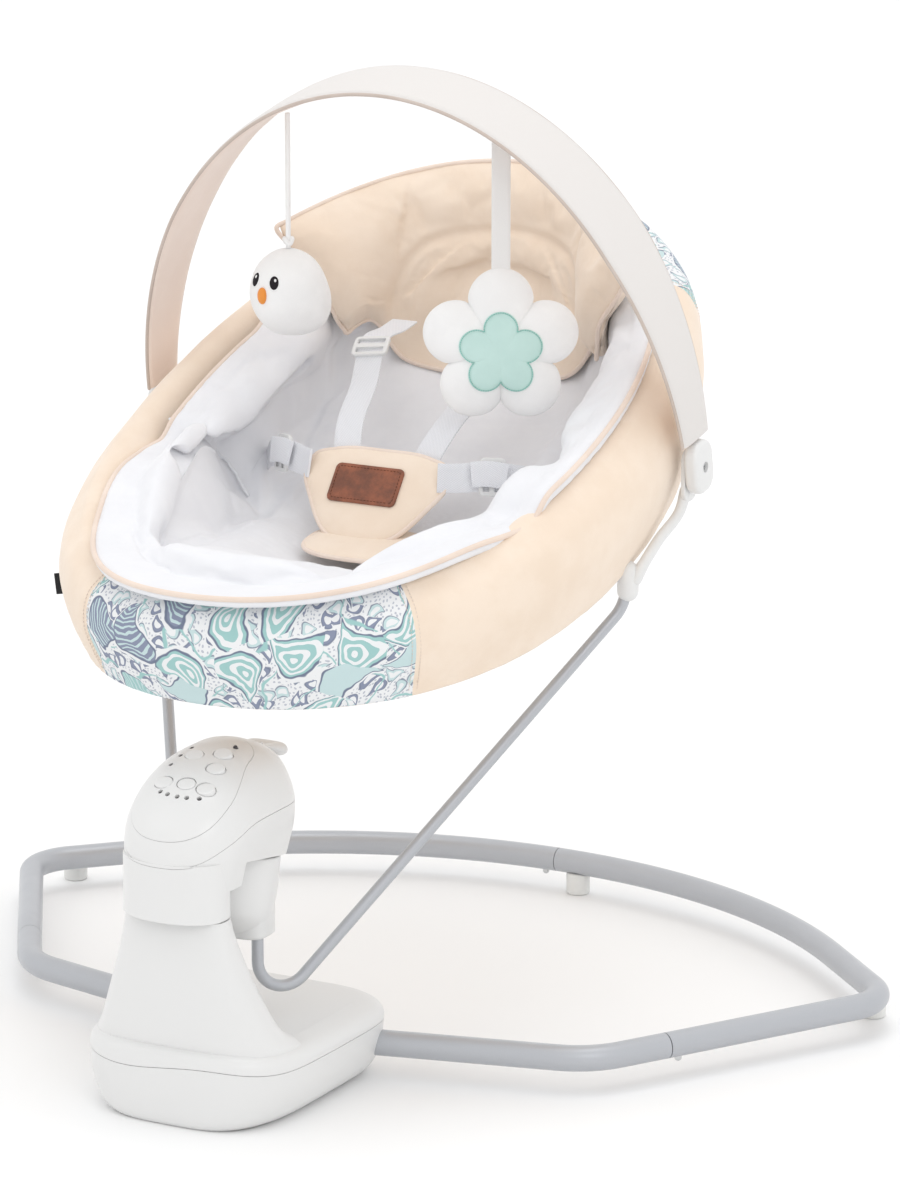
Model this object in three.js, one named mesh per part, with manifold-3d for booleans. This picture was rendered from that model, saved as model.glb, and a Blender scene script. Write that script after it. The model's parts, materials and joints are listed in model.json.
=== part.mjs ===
// Baby swing: a seat on two bent rods that rocks on a leaning axle in a control column,
// over a floor loop of steel tube.
// Millimetres. +X is the sitter's right-hand side seen from the control column,
// +Y runs from the column to the head end of the seat, +Z is up.
import * as THREE from 'three';
import { mergeVertices } from 'three/addons/utils/BufferGeometryUtils.js';
import Module from 'manifold-3d';

const wasm = await Module();
wasm.setup();

// ---------------------------------------------------------------- driving dimensions
const GAP = 0.3;                 // clearance kept between touching pieces
const CENTRE_Y = 175;            // middle of the whole swing, measured from the tube exits

const TUBE = { radius: 11, wall: 1.2, height: 30, sides: 10 };
const LOOP = {
  exit: [97.5, 0],               // where a tube leaves the base
  bend: [274, 42],               // front bend
  bendRadius: 70,
  joint: [313, 104],             // where front and rear tubes meet
  corner: [433, 298],            // widest corner
  cornerRadius: 45,
  backRadius: 480,               // sweep of the back tube
  backCentreY: 52,
  backAngle: 45,                 // half of that sweep, degrees
  jointGap: 0.8,
};
const ROD_RADIUS = 5;
const ROD = {
  top: [34, -92, 164],           // upper end, inside the hub
  dip: [34, -92, 62],            // where the two straight runs would cross
  dipRadius: 25,
  knee: [229, 195, 380],
  kneeRadius: 32,
  end: [229, 195, 405],          // end inside the seat bracket
};
const PARTING_Z = 43;            // joint between the two base shells
const NECK_Z = 175;              // joint between column and head
const SHELL = 3;                 // wall of the plastic shells
const AXLE = { point: [0, -85, 207], lean: 10, radius: 6 };
const HUB_RADIUS = 46;

const SEAT = {
  centreY: 222, front: 349, back: 314, half: 231, square: 2.12,
  hemFront: 353, slope: 0.0449, curve: 0.000524,
  sideRise: 0.3,                 // how much taller the wall is at the sides than at the ends
  floorSag: 34,                  // how far the middle of the floor hangs below the hem surface
  floorEdge: 0.93,               // share of the plan where the floor meets the wall
  around: 36,
};
const TOY_BAR = { pivot: [262, 264, 489], rise: 322, lean: 10, width: 78, endWidth: 44, thick: 7 };
const BIRD = { x: -105, y: 213, top: 771, centre: 615 };
const FLOWER = { x: 101, y: 213, top: 771, centre: 586, radius: 68, thick: 26, turn: 28, ribbon: 16 };

const rad = THREE.MathUtils.degToRad;
const v3 = (x, y, z) => new THREE.Vector3(x, y, z);
const SIDES = [['right', 1], ['left', -1]];

// ---------------------------------------------------------------- materials
function finish(color, roughness, metalness = 0) {
  return () => new THREE.MeshStandardMaterial({ color, roughness, metalness });
}
const greyPaint = finish(0xa9adb3, 0.35, 0.6);
const whitePlastic = finish(0xf3f2f0, 0.25);
const darkPlastic = finish(0x35363a, 0.5);
const clearGrey = finish(0x4a4646, 0.3);
const steel = finish(0xc4c6c8, 0.3, 1);
const copper = finish(0xb5713c, 0.35, 1);
const circuitGreen = finish(0x2f6b45, 0.6);
const rubber = finish(0xe8e8e6, 0.8);
const peachFabric = finish(0xf3dcc3, 0.95);
const whiteFabric = finish(0xf6f5f6, 0.95);
const bandFabric = finish(0xe6e0dc, 0.9);
const webbing = finish(0xf0f0f2, 0.8);

// ---------------------------------------------------------------- geometry helpers
const swing = new THREE.Group();

/** Adds a named piece to the swing. */
function piece(name, geometry, material) {
  const mesh = new THREE.Mesh(geometry, material());
  mesh.name = name;
  swing.add(mesh);
  return mesh;
}

/** Merged, position-only copy of a geometry with an index. */
function bare(geometry) {
  const copy = geometry.clone();
  copy.deleteAttribute('normal');
  copy.deleteAttribute('uv');
  return mergeVertices(copy, 1e-4);
}

function solid(geometry) {
  const merged = bare(geometry);
  return new wasm.Manifold(new wasm.Mesh({
    numProp: 3,
    vertProperties: new Float32Array(merged.attributes.position.array),
    triVerts: new Uint32Array(merged.index.array),
  }));
}

function geometryOf(body) {
  const mesh = body.getMesh();
  const geometry = new THREE.BufferGeometry();
  geometry.setAttribute('position', new THREE.BufferAttribute(new Float32Array(mesh.vertProperties), 3));
  geometry.setIndex(new THREE.BufferAttribute(new Uint32Array(mesh.triVerts), 1));
  geometry.computeVertexNormals();
  return geometry;
}

/** Same shape on the other side of the middle plane, with its faces still pointing out. */
function mirrored(geometry) {
  const copy = geometry.clone().scale(-1, 1, 1);
  copy.index.array.reverse();
  return copy;
}

/** First geometry with all the others taken away. */
function cut(geometry, ...tools) {
  return geometryOf(tools.reduce((body, tool) => body.subtract(solid(tool)), solid(geometry)));
}

function join(geometry, ...others) {
  return geometryOf(others.reduce((body, other) => body.add(solid(other)), solid(geometry)));
}

function common(geometry, other) {
  return geometryOf(solid(geometry).intersect(solid(other)));
}

/** Closed skin through rings with the same number of points. An open row is capped by fans. */
function loft(rings, closed = false) {
  const count = rings[0].length;
  const points = rings.flat();
  const faces = [];
  const rows = closed ? rings.length : rings.length - 1;
  for (let row = 0; row < rows; row += 1) {
    const next = ((row + 1) % rings.length) * count;
    for (let i = 0; i < count; i += 1) {
      const j = (i + 1) % count;
      const [a, b, c, d] = [row * count + i, row * count + j, next + i, next + j];
      faces.push(a, b, d, a, d, c);
    }
  }
  if (!closed) {
    [0, rings.length - 1].forEach((row, end) => {
      const middle = points.length;
      const sum = rings[row].reduce((total, point) => total.add(point), v3(0, 0, 0));
      points.push(sum.divideScalar(count));
      for (let i = 0; i < count; i += 1) {
        const [a, b] = [row * count + i, row * count + ((i + 1) % count)];
        if (end) faces.push(middle, a, b);
        else faces.push(middle, b, a);
      }
    });
  }
  const volume = faces.reduce((total, _, k) => {
    if (k % 3) return total;
    const [p, q, r] = [points[faces[k]], points[faces[k + 1]], points[faces[k + 2]]];
    return total + p.dot(q.clone().cross(r));
  }, 0);
  if (volume < 0) faces.reverse();
  const geometry = new THREE.BufferGeometry().setFromPoints(points);
  geometry.setIndex(faces);
  geometry.computeVertexNormals();
  return geometry;
}

const power = (value, exponent) => Math.sign(value) * Math.abs(value) ** exponent;

/** Level superellipse ring round (0, y), with its own depth and squareness to front and back. */
function oval({ z, y = 0, half, front, back = front, square = 2, squareBack = square, count = 24, flare = 0 }) {
  return Array.from({ length: count }, (_, i) => {
    const angle = (2 * Math.PI * i) / count;
    const [c, s] = [Math.cos(angle), Math.sin(angle)];
    const exponent = 2 / (s < 0 ? square : squareBack);
    const dy = (s < 0 ? front : back) * power(s, exponent);
    return v3(half * power(c, exponent) * (1 + flare * dy), y + dy, z);
  });
}

/** Points of a polyline whose inner corners are rounded with the given radii. */
function filleted(corners, radii, step = 12) {
  const points = [corners[0].clone()];
  for (let i = 1; i < corners.length - 1; i += 1) {
    const into = corners[i].clone().sub(corners[i - 1]).normalize();
    const out = corners[i + 1].clone().sub(corners[i]).normalize();
    const turn = into.angleTo(out);
    const radius = radii[i - 1];
    const start = corners[i].clone().addScaledVector(into, -radius * Math.tan(turn / 2));
    const inward = out.clone().addScaledVector(into, -out.dot(into)).normalize();
    const centre = start.clone().addScaledVector(inward, radius);
    const parts = Math.max(2, Math.round(THREE.MathUtils.radToDeg(turn) / step));
    for (let k = 0; k <= parts; k += 1) {
      const angle = (turn * k) / parts;
      points.push(centre.clone()
        .addScaledVector(inward, -radius * Math.cos(angle))
        .addScaledVector(into, radius * Math.sin(angle)));
    }
  }
  points.push(corners[corners.length - 1].clone());
  return points;
}

/** Path that passes exactly through its points, one per extrusion step. */
class Route extends THREE.Curve {
  constructor(points) {
    super();
    this.points = points;
  }

  getPoint(t, target = new THREE.Vector3()) {
    const place = Math.min(Math.max(t, 0), 1) * (this.points.length - 1);
    const index = Math.min(Math.floor(place), this.points.length - 2);
    return target.lerpVectors(this.points[index], this.points[index + 1], place - index);
  }

  getUtoTmapping(u) {
    return u;
  }
}

function circlePoints(radius, sides) {
  return Array.from({ length: sides }, (_, i) => {
    const angle = (2 * Math.PI * i) / sides;
    return new THREE.Vector2(radius * Math.cos(angle), radius * Math.sin(angle));
  });
}

/** Section swept through points. */
function swept(shape, points) {
  return new THREE.ExtrudeGeometry(shape, {
    steps: points.length - 1, extrudePath: new Route(points), bevelEnabled: false,
  });
}

function bar(points, radius, sides = 10) {
  return swept(new THREE.Shape(circlePoints(radius, sides)), points);
}

function pipe(points, radius, wall, sides) {
  const shape = new THREE.Shape(circlePoints(radius, sides));
  shape.holes.push(new THREE.Path(circlePoints(radius - wall, sides)));
  return swept(shape, points);
}

/** Box with rounded edges along one axis, centred on the origin. */
function roundedPlate(width, height, depth, radius, segments = 3) {
  const shape = new THREE.Shape();
  const [w, h] = [width / 2, height / 2];
  shape.moveTo(-w + radius, -h);
  shape.lineTo(w - radius, -h);
  shape.absarc(w - radius, -h + radius, radius, -Math.PI / 2, 0);
  shape.absarc(w - radius, h - radius, radius, 0, Math.PI / 2);
  shape.absarc(-w + radius, h - radius, radius, Math.PI / 2, Math.PI);
  shape.absarc(-w + radius, -h + radius, radius, Math.PI, 1.5 * Math.PI);
  const geometry = new THREE.ExtrudeGeometry(shape, { depth, bevelEnabled: false, curveSegments: segments });
  return geometry.translate(0, 0, -depth / 2);
}

/** Upright cylinder between two heights. */
function post(radius, bottom, top, sides = 20) {
  return new THREE.CylinderGeometry(radius, radius, top - bottom, sides)
    .rotateX(Math.PI / 2).translate(0, 0, (top + bottom) / 2);
}

/** Ring turned round Z, of rectangular section. */
function collar(inner, outer, bottom, top, sides = 20) {
  const profile = [[inner, bottom], [outer, bottom], [outer, top], [inner, top], [inner, bottom]];
  const points = profile.map(([r, z]) => new THREE.Vector2(r, z));
  return new THREE.LatheGeometry(points, sides).rotateX(Math.PI / 2);
}

/** Slab that fills everything above (or below) a side profile drawn in Y and Z. */
function profileSlab(profile, limitZ, shift, halfWidth = 150) {
  const spline = new THREE.SplineCurve(profile.map(([y, z]) => new THREE.Vector2(y, z + shift)));
  const line = spline.getPoints(12);
  const [first, last] = [line[0], line[line.length - 1]];
  const corners = [last, first].map((end) => new THREE.Vector2(end.x, limitZ));
  const shape = new THREE.Shape([...line, ...corners]);
  return new THREE.ExtrudeGeometry(shape, { depth: 2 * halfWidth, bevelEnabled: false })
    .translate(0, 0, -halfWidth).rotateZ(Math.PI / 2).rotateY(Math.PI / 2);
}

// ---------------------------------------------------------------- floor loop
const level = ([x, y], side = 1, z = TUBE.height) => v3(side * x, y, z);

/** Front tube: from inside the base, round the front bend, to the joint. */
function frontTubePoints(side) {
  const [ex, ey] = LOOP.exit;
  const [bx, by] = LOOP.bend;
  const inside = [ex - 45, ey - (45 * (by - ey)) / (bx - ex)];
  return filleted([level(inside, side), level(LOOP.bend, side), level(LOOP.joint, side)], [LOOP.bendRadius]);
}

/** Rear tube: from the joint, round the corner, and along the back sweep to the middle. */
function rearTubePoints(side) {
  const start = v3(...LOOP.joint, TUBE.height);
  const corner = v3(...LOOP.corner, TUBE.height);
  const towards = corner.clone().sub(start).normalize();
  start.addScaledVector(towards, LOOP.jointGap);
  const angle = rad(LOOP.backAngle);
  const sweepStart = [LOOP.backRadius * Math.sin(angle), LOOP.backCentreY + LOOP.backRadius * Math.cos(angle)];
  const points = filleted([start, corner, level(sweepStart)], [LOOP.cornerRadius]);
  const parts = 9;
  for (let k = 1; k <= parts; k += 1) {
    const at = angle * (1 - k / parts);
    points.push(level([LOOP.backRadius * Math.sin(at), LOOP.backCentreY + LOOP.backRadius * Math.cos(at)]));
  }
  points[points.length - 1].x = 12;
  points.push(level([LOOP.jointGap / 2, LOOP.backCentreY + LOOP.backRadius]));
  return points.map((point) => v3(side * point.x, point.y, point.z));
}

/** Four bent tubes that make the floor loop. */
function floorLoop() {
  for (const [name, side] of SIDES) {
    piece(`front_tube_${name}`, pipe(frontTubePoints(side), TUBE.radius, TUBE.wall, TUBE.sides), greyPaint);
    piece(`rear_tube_${name}`, pipe(rearTubePoints(side), TUBE.radius, TUBE.wall, TUBE.sides), greyPaint);
  }
}

/** Joint places: middle, direction of the tube there, and the side where the snap button sits. */
function joints() {
  const [jx, jy] = LOOP.joint;
  const [cx, cy] = LOOP.corner;
  const heading = Math.atan2(cy - jy, cx - jx);
  const backY = LOOP.backCentreY + LOOP.backRadius;
  return [
    { name: 'right', x: jx, y: jy, heading, button: 13 },
    { name: 'left', x: -jx, y: jy, heading: Math.PI - heading, button: 13 },
    { name: 'rear', x: 0, y: backY, heading: 0, button: -13 },
  ];
}

/** Inner sleeves that hold the tubes together, and the sprung buttons that lock them. */
function tubeLocks() {
  const bore = TUBE.radius - TUBE.wall - GAP;
  const half = 20;
  for (const { name, x, y, heading, button } of joints()) {
    const place = (geometry) => geometry.rotateZ(heading).translate(x, y, TUBE.height);
    const radius = bore * Math.cos(Math.PI / TUBE.sides) - 2 * GAP;
    const sleeve = post(radius, -half, half, 12).rotateY(Math.PI / 2);
    const pocket = post(3.5, -20, 5.2, 10).translate(button, 0, 0);
    piece(`tube_plug_${name}`, place(cut(sleeve, pocket)), darkPlastic);
    const stud = post(3.2, -TUBE.radius - 2.6, 1.6, 10).translate(button, 0, 0);
    piece(`snap_button_${name}`, place(stud), steel);
  }
}

/** Hole through the lower wall of a tube for the button at one joint. */
function buttonHoles() {
  return joints().map(({ x, y, heading, button }) => post(3.6, -20, -2, 10)
    .translate(button, 0, 0).rotateZ(heading).translate(x, y, TUBE.height));
}

function drillTubes() {
  const holes = buttonHoles();
  for (const name of ['rear_tube_right', 'rear_tube_left']) {
    const mesh = swing.getObjectByName(name);
    mesh.geometry = cut(mesh.geometry, ...holes);
  }
}

/** Short feet clipped under the loop, each a cap with a saddle for the tube. */
function feet() {
  const places = [['left', -419.5, 353], ['right', 403, 336], ['rear', 20, 533]];
  for (const [name, x, y] of places) {
    const saddle = bar(rearTubePoints(Math.sign(x)), TUBE.radius + GAP + 0.1, 14);
    const foot = post(11, 0, 22, 18).translate(x, y, 0);
    piece(`foot_${name}`, cut(foot, saddle), rubber);
  }
}

// ---------------------------------------------------------------- base and column
const BASE = { y: -60, front: 128, back: 92, flare: 0.0003 };

/** Outline of the base at one height, drawn in by inset. */
function baseRing(z, half, inset = 0) {
  return oval({
    z, y: BASE.y, half: half - inset, front: BASE.front - inset, back: BASE.back - inset,
    square: 3.8, squareBack: 4.5, flare: BASE.flare,
  });
}

/** Outline of the column, from its wide foot to the neck. */
function columnRing(z, inset = 0) {
  const rise = THREE.MathUtils.clamp((z - 66) / (NECK_Z - 66), 0, 1);
  const swell = (1 - rise) ** 1.3;
  return oval({
    z, y: -163 + 18 * swell, half: 46 + 38 * swell - inset,
    front: 29 + 12 * swell - inset, back: 29.5 + 10.5 * swell - inset,
    square: 2.15 + 0.5 * swell,
  });
}

const COLUMN_LEVELS = [68, 80, 95, 115, 140, NECK_Z - GAP];

/** Bores in the base for the two front tubes. */
function tubeExits() {
  return SIDES.map(([, side]) => bar(frontTubePoints(side).slice(0, 2), TUBE.radius + GAP + 0.1, 16));
}

/** Two base shells, the upper one with the column, and the battery cover and power inlet. */
function baseShells() {
  const underside = [baseRing(0, 83, 5), baseRing(3, 85, 1.5), baseRing(10, 89), baseRing(28, 96)];
  const lowerOuter = loft([...underside, baseRing(PARTING_Z, 99)]);
  const lowerInner = loft([baseRing(SHELL, 85, 5), baseRing(12, 90, SHELL), baseRing(28, 96, SHELL),
    baseRing(PARTING_Z, 99, SHELL), baseRing(PARTING_Z + 5, 99, SHELL)]);
  const [hatchWidth, hatchDepth, hatchY] = [96, 62, -70];
  const hatch = roundedPlate(hatchWidth, hatchDepth, 20, 5).translate(0, hatchY, 0);
  const inlet = post(5.6, 0, 20, 16).rotateX(-Math.PI / 2).translate(-40, 22, 20);
  piece('base_lower_shell', cut(lowerOuter, lowerInner, hatch, inlet, ...tubeExits()), whitePlastic);
  const cover = roundedPlate(hatchWidth - 2 * GAP, hatchDepth - 2 * GAP, 2.2, 4.7).translate(0, hatchY, 1.7);
  piece('battery_cover', cover, whitePlastic);
  piece('dc_inlet', collar(1.8, 5.2, 0, 14, 16).rotateX(-Math.PI / 2).translate(-40, 19, 20), darkPlastic);

  const upperOuter = loft([baseRing(PARTING_Z + GAP, 99), baseRing(56, 99), baseRing(63, 97, 1),
    baseRing(66, 94, 5), ...COLUMN_LEVELS.map((z) => columnRing(z))]);
  const upperInner = loft([baseRing(PARTING_Z - 2, 99, SHELL), baseRing(58, 99, SHELL), baseRing(62.5, 96, 6),
    ...COLUMN_LEVELS.map((z) => columnRing(z - SHELL, SHELL)), columnRing(NECK_Z + 4, SHELL)]);
  piece('base_upper_shell', cut(upperOuter, upperInner), whitePlastic);
}

// ---------------------------------------------------------------- head
const HEAD_SIDES = 9;            // steps round each half oval of the head
// Side profiles of the head's two seams, as Y and Z.
const SEAM_PANEL = [[-215, 232], [-194, 241], [-150, 268], [-112, 289], [-85, 295], [-66, 306], [-50, 330]];
const SEAM_BODY = [[-215, 216], [-194, 222], [-165, 237], [-135, 246.5], [-90, 249], [-20, 247], [10, 246]];
// height, front end, back end and half width of the head, upwards
const HEAD_LEVELS = [
  [199, -194, -37, 47], [212, -194, -32, 49], [232, -193, -26, 52], [250, -187, -25, 52],
  [268, -173, -30, 48], [283, -153, -38, 41], [293, -133, -50, 31], [299, -115, -64, 19],
];

/** Plan of the head between two ends: half ovals at front and back with straight sides between. */
function headRing([z, front, back, half], inset = 0) {
  const depth = Math.min(half, (back - front) / 2) * 0.96;
  const ring = [];
  for (const [middle, turn] of [[back - depth, 0], [front + depth, Math.PI]]) {
    for (let i = 0; i <= HEAD_SIDES; i += 1) {
      const angle = turn + (Math.PI * i) / HEAD_SIDES;
      const [c, s] = [Math.cos(angle), Math.sin(angle)];
      ring.push(v3((half - inset) * power(c, 0.92), middle + (depth - inset) * power(s, 0.92), z));
    }
  }
  return ring;
}

function neckRing(z, inset = 0) {
  return oval({ z, y: -163, half: 46 - inset, front: 31 - inset, back: 28.5 - inset, square: 2.25 });
}

/** Moves a geometry from the axle's own frame to the swing's. */
function driveFrame(geometry) {
  return geometry.rotateX(-rad(AXLE.lean)).translate(...AXLE.point);
}

/** Whole head as one solid, or its hollow where an inset is given. */
function headSolid(inset) {
  const levels = HEAD_LEVELS.map((row) => [...row]);
  if (inset) {
    levels[0][0] -= 20;
    levels[levels.length - 1][0] -= inset;
  }
  const dome = loft(levels.map((row) => headRing(row, inset)));
  const neck = loft([neckRing(NECK_Z + (inset ? -5 : GAP), inset), neckRing(190, inset), neckRing(225, inset)]);
  const under = driveFrame(roundedPlate(160, 116, 80, 10).translate(0, 0, -40 + (inset ? SHELL + 1 : 1)));
  const behindNeck = under.translate(0, 5.5, 0);
  return join(cut(dome, behindNeck), neck);
}

/** Head split along its two seams into lower shell, upper shell and control panel. */
function headShells() {
  const shell = cut(headSolid(0), headSolid(SHELL));
  const shaftHole = driveFrame(post(13.4, -20, 20, 16));
  const boss = driveFrame(collar(13.4, 17, 1.2, 30, 16));
  const lower = cut(shell, profileSlab(SEAM_BODY, 400, -GAP / 2), shaftHole);
  piece('head_lower_shell', join(lower, boss), whitePlastic);
  const aboveBody = common(shell, profileSlab(SEAM_BODY, 400, GAP / 2));
  piece('head_upper_shell', cut(aboveBody, profileSlab(SEAM_PANEL, 400, -GAP / 2), leverSlot()), whitePlastic);
  const cap = common(shell, profileSlab(SEAM_PANEL, 400, GAP / 2));
  piece('control_panel', cut(cap, leverSlot(), ...panelHoles()), whitePlastic);
}

// Flat frame tangent to the panel: U runs across, V runs up the slope.
const PANEL = { point: [0, -140, 288], tilt: 26, crown: 0.0026 };
const KEY_RADIUS = 7.4;
const BUTTONS = [
  ['timer_button', -7, 21], ['music_button', 15, 29], ['volume_button', 19, 9],
  ['nature_button', -17, -15], ['speed_down_button', 4, -14], ['speed_up_button', 22, -15],
];
const SPEED_LIGHTS = [-15, -7, 2.5, 11, 21].map((u) => [u, -28.5 + 0.01 * (u - 3) ** 2]);
const TIMER_LIGHTS = [[-17, 33], [-20, 20], [-22, 7], [17, 45]];

function panelFrame(geometry) {
  return geometry.rotateX(rad(PANEL.tilt)).translate(...PANEL.point);
}

/** How far the domed panel lies under its tangent plane. */
function crownDrop(u, v) {
  return PANEL.crown * (u * u + v * v);
}

function keyPost(radius, bottom, u, v) {
  return post(radius, bottom, 1.3 - crownDrop(u, v), 12).scale(1.1, 0.9, 1).translate(u, v, 0);
}

function panelHoles() {
  const keys = BUTTONS.map(([, u, v]) => panelFrame(keyPost(KEY_RADIUS + GAP, -26, u, v)));
  const lights = [...SPEED_LIGHTS, ...TIMER_LIGHTS].map(([u, v]) => panelFrame(post(1.7, -30, 12, 6)
    .translate(u, v, 0)));
  return [...keys, ...lights];
}

/** Six keys that travel through the panel, and the lamps behind its small holes. */
function panelParts() {
  for (const [name, u, v] of BUTTONS) {
    piece(name, panelFrame(keyPost(KEY_RADIUS, -6 - crownDrop(u, v), u, v)), whitePlastic);
  }
  const board = roundedPlate(56, 44, 1.6, 3, 2).translate(0, 4, -30);
  piece('control_board', panelFrame(board), circuitGreen);
}

/** Row of lamp posts on one strip, just under the panel. */
function lampBar(name, lights, level) {
  const posts = lights.map(([u, v]) => post(1.4, level, -5.6 - crownDrop(u, v), 8).translate(u, v, 0));
  const rim = 4;
  const [low, high] = [Math.min, Math.max].map((pick) => [0, 1].map((i) => pick(...lights.map((at) => at[i]))));
  const size = [0, 1].map((i) => high[i] - low[i] + 2 * rim);
  const middle = [0, 1].map((i) => (low[i] + high[i]) / 2);
  const strip = new THREE.BoxGeometry(...size, 2).translate(...middle, level);
  piece(name, panelFrame(join(strip, ...posts)), clearGrey);
}

// Tongue at the back of the head: hinge place and the angle at which it droops.
const LEVER = { hinge: [0, -50, 290], droop: 23, width: 30, length: 52, thick: 4.5 };

function leverFrame(geometry) {
  return geometry.rotateX(-rad(LEVER.droop)).translate(...LEVER.hinge);
}

function leverSlot() {
  return leverFrame(new THREE.BoxGeometry(LEVER.width + 2, 80, 9).translate(0, 22, 0));
}

function releaseLever() {
  const tongue = roundedPlate(LEVER.width, LEVER.length, LEVER.thick, 12, 4)
    .translate(0, LEVER.length / 2 - 4, 0);
  const pin = post(2.8, -LEVER.width / 2, LEVER.width / 2, 10).rotateY(Math.PI / 2);
  piece('release_lever', leverFrame(join(tongue, pin)), whitePlastic);
}

/** Axle bushes in the head's boss, the drive coil over the axle, and the speaker in the column. */
function drive() {
  piece('shaft_bush_lower', driveFrame(collar(AXLE.radius + GAP, 13, 1.4, 11, 16)), darkPlastic);
  piece('shaft_bush_upper', driveFrame(collar(AXLE.radius + GAP, 13, 19, 29.6, 16)), darkPlastic);
  const coil = roundedPlate(34, 22, 14, 6).rotateX(Math.PI / 2).translate(0, 33, 33);
  const core = roundedPlate(18, 8, 20, 2, 1).rotateX(Math.PI / 2).translate(0, 33, 33);
  piece('drive_coil', driveFrame(cut(coil, core)), copper);
  piece('speaker', new THREE.CylinderGeometry(22, 14, 16, 20).translate(0, -158, 120), darkPlastic);
}

// ---------------------------------------------------------------- hub and rods
function rodPoints(side) {
  const corners = [ROD.top, ROD.dip, ROD.knee, ROD.end].map(([x, y, z]) => v3(side * x, y, z));
  return filleted(corners, [ROD.dipRadius, ROD.kneeRadius]);
}

/** Drum with the rod sockets that turns on the axle, its shaft and magnet arm, and the two rods. */
function hub() {
  const drum = loft([
    { z: 139, y: -90, half: 30, front: 12, back: 20 },
    { z: 150, y: -91, half: 40, front: 25, back: 30 },
    { z: 163, y: -92, half: 45, front: 34, back: 38 },
    { z: 178, y: -89, half: HUB_RADIUS, front: 42, back: 43 },
  ].map(oval).concat([[0, 1]].map(() => oval({ z: 0, half: HUB_RADIUS, front: HUB_RADIUS })
    .map((point) => point.applyAxisAngle(v3(1, 0, 0), -rad(AXLE.lean)).add(v3(...AXLE.point))))));
  const block = loft([139, 158, 176].map((z) => oval({ z, y: -86, half: 42, front: 20, back: 20, square: 4 })));
  const bores = SIDES.map(([, side]) => bar(rodPoints(side).slice(0, 2), ROD_RADIUS + GAP, 12)
    .translate(0, 0, GAP));
  const seat = driveFrame(post(AXLE.radius + GAP, -32, 5, 20));
  const hollow = driveFrame(collar(13, 40, -22, 5, 20));
  piece('hub_shell', cut(join(drum, block), ...bores, seat, hollow), whitePlastic);
  piece('hub_shaft', driveFrame(post(AXLE.radius, -31.5, 44, 16)), steel);
  const arm = roundedPlate(30, 24, 5, 6).translate(0, 6, 33);
  piece('drive_magnet', driveFrame(cut(arm, post(AXLE.radius + GAP, 0, 60, 16))), darkPlastic);
  for (const [name, side] of SIDES) {
    piece(`swing_rod_${name}`, bar(rodPoints(side), ROD_RADIUS, 10), greyPaint);
  }
}

// ---------------------------------------------------------------- seat surface
/** Height of the hem line at a given Y, rising towards the head end. */
function hemHeight(y) {
  const run = y + 127;
  return SEAT.hemFront + SEAT.slope * run + SEAT.curve * run * run;
}

function hemSlope(y) {
  return Math.atan(SEAT.slope + 2 * SEAT.curve * (y + 127));
}

/** Point of the seat's plan at an angle, scaled towards its middle. */
function plan(angle, scale = 1) {
  const [c, s] = [Math.cos(angle), Math.sin(angle)];
  const exponent = 2 / SEAT.square;
  const depth = s < 0 ? SEAT.front : SEAT.back;
  return { x: scale * SEAT.half * power(c, exponent), y: SEAT.centreY + scale * depth * power(s, exponent) };
}

/** Hem point at an angle, with the outward and upward directions of the seat wall there. */
function hem(angle) {
  const { x, y } = plan(angle);
  const depth = y < SEAT.centreY ? SEAT.front : SEAT.back;
  const nx = power(x / SEAT.half, SEAT.square - 1) / SEAT.half;
  const ny = power((y - SEAT.centreY) / depth, SEAT.square - 1) / depth;
  const size = Math.hypot(nx, ny);
  const lean = hemSlope(y);
  const out = v3(nx / size, (ny / size) * Math.cos(lean), (ny / size) * Math.sin(lean));
  const up = v3(0, -Math.sin(lean), Math.cos(lean));
  return { point: v3(x, y, hemHeight(y)), out, up };
}

const AROUND = Array.from({ length: SEAT.around }, (_, i) => (2 * Math.PI * i) / SEAT.around);

/** Point at a set distance outward and upward from the hem. The wall is tallest at the sides,
 * and at the front a pad may spread further out. */
function wallPoint(angle, out, up, spread = 0) {
  const front = Math.max(0, -Math.sin(angle)) ** 2;
  const side = Math.cos(angle) ** 2;
  const place = hem(angle);
  const rise = up > 0 ? 1 + SEAT.sideRise * side : 1;
  return place.point.addScaledVector(place.out, out + spread * front).addScaledVector(place.up, up * rise);
}

/** Point of the seat's floor, scaled towards the middle, which sags below the hem surface. */
function floorPoint(angle, scale, lift = 0) {
  const { x, y } = plan(angle, scale);
  return v3(x, y, hemHeight(y) - SEAT.floorSag * (1 - (scale / SEAT.floorEdge) ** 2) + lift);
}

const wallRing = (...place) => AROUND.map((angle) => wallPoint(angle, ...place));
const floorRing = (...place) => AROUND.map((angle) => floorPoint(angle, ...place));

// Wall profiles, as distances outward and upward from the hem. A third number is the spread in front.
const WALL_OUTSIDE = [[-2.4, 0.5], [-2.4, -11], [0.6, -11], [11, 14], [17, 36], [11, 60], [-6, 74]];
const WALL_INSIDE = [[-24, 74], [-38, 60], [-46, 38], [-52, 20]];
const PAD_WALL = [[-55, 22], [-48, 40], [-40.5, 60.5], [-25, 75.6], [-13, 75.6, 26], [-12, 84, 26],
  [-28, 85], [-49, 66], [-57, 42], [-64, 26]];

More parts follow.
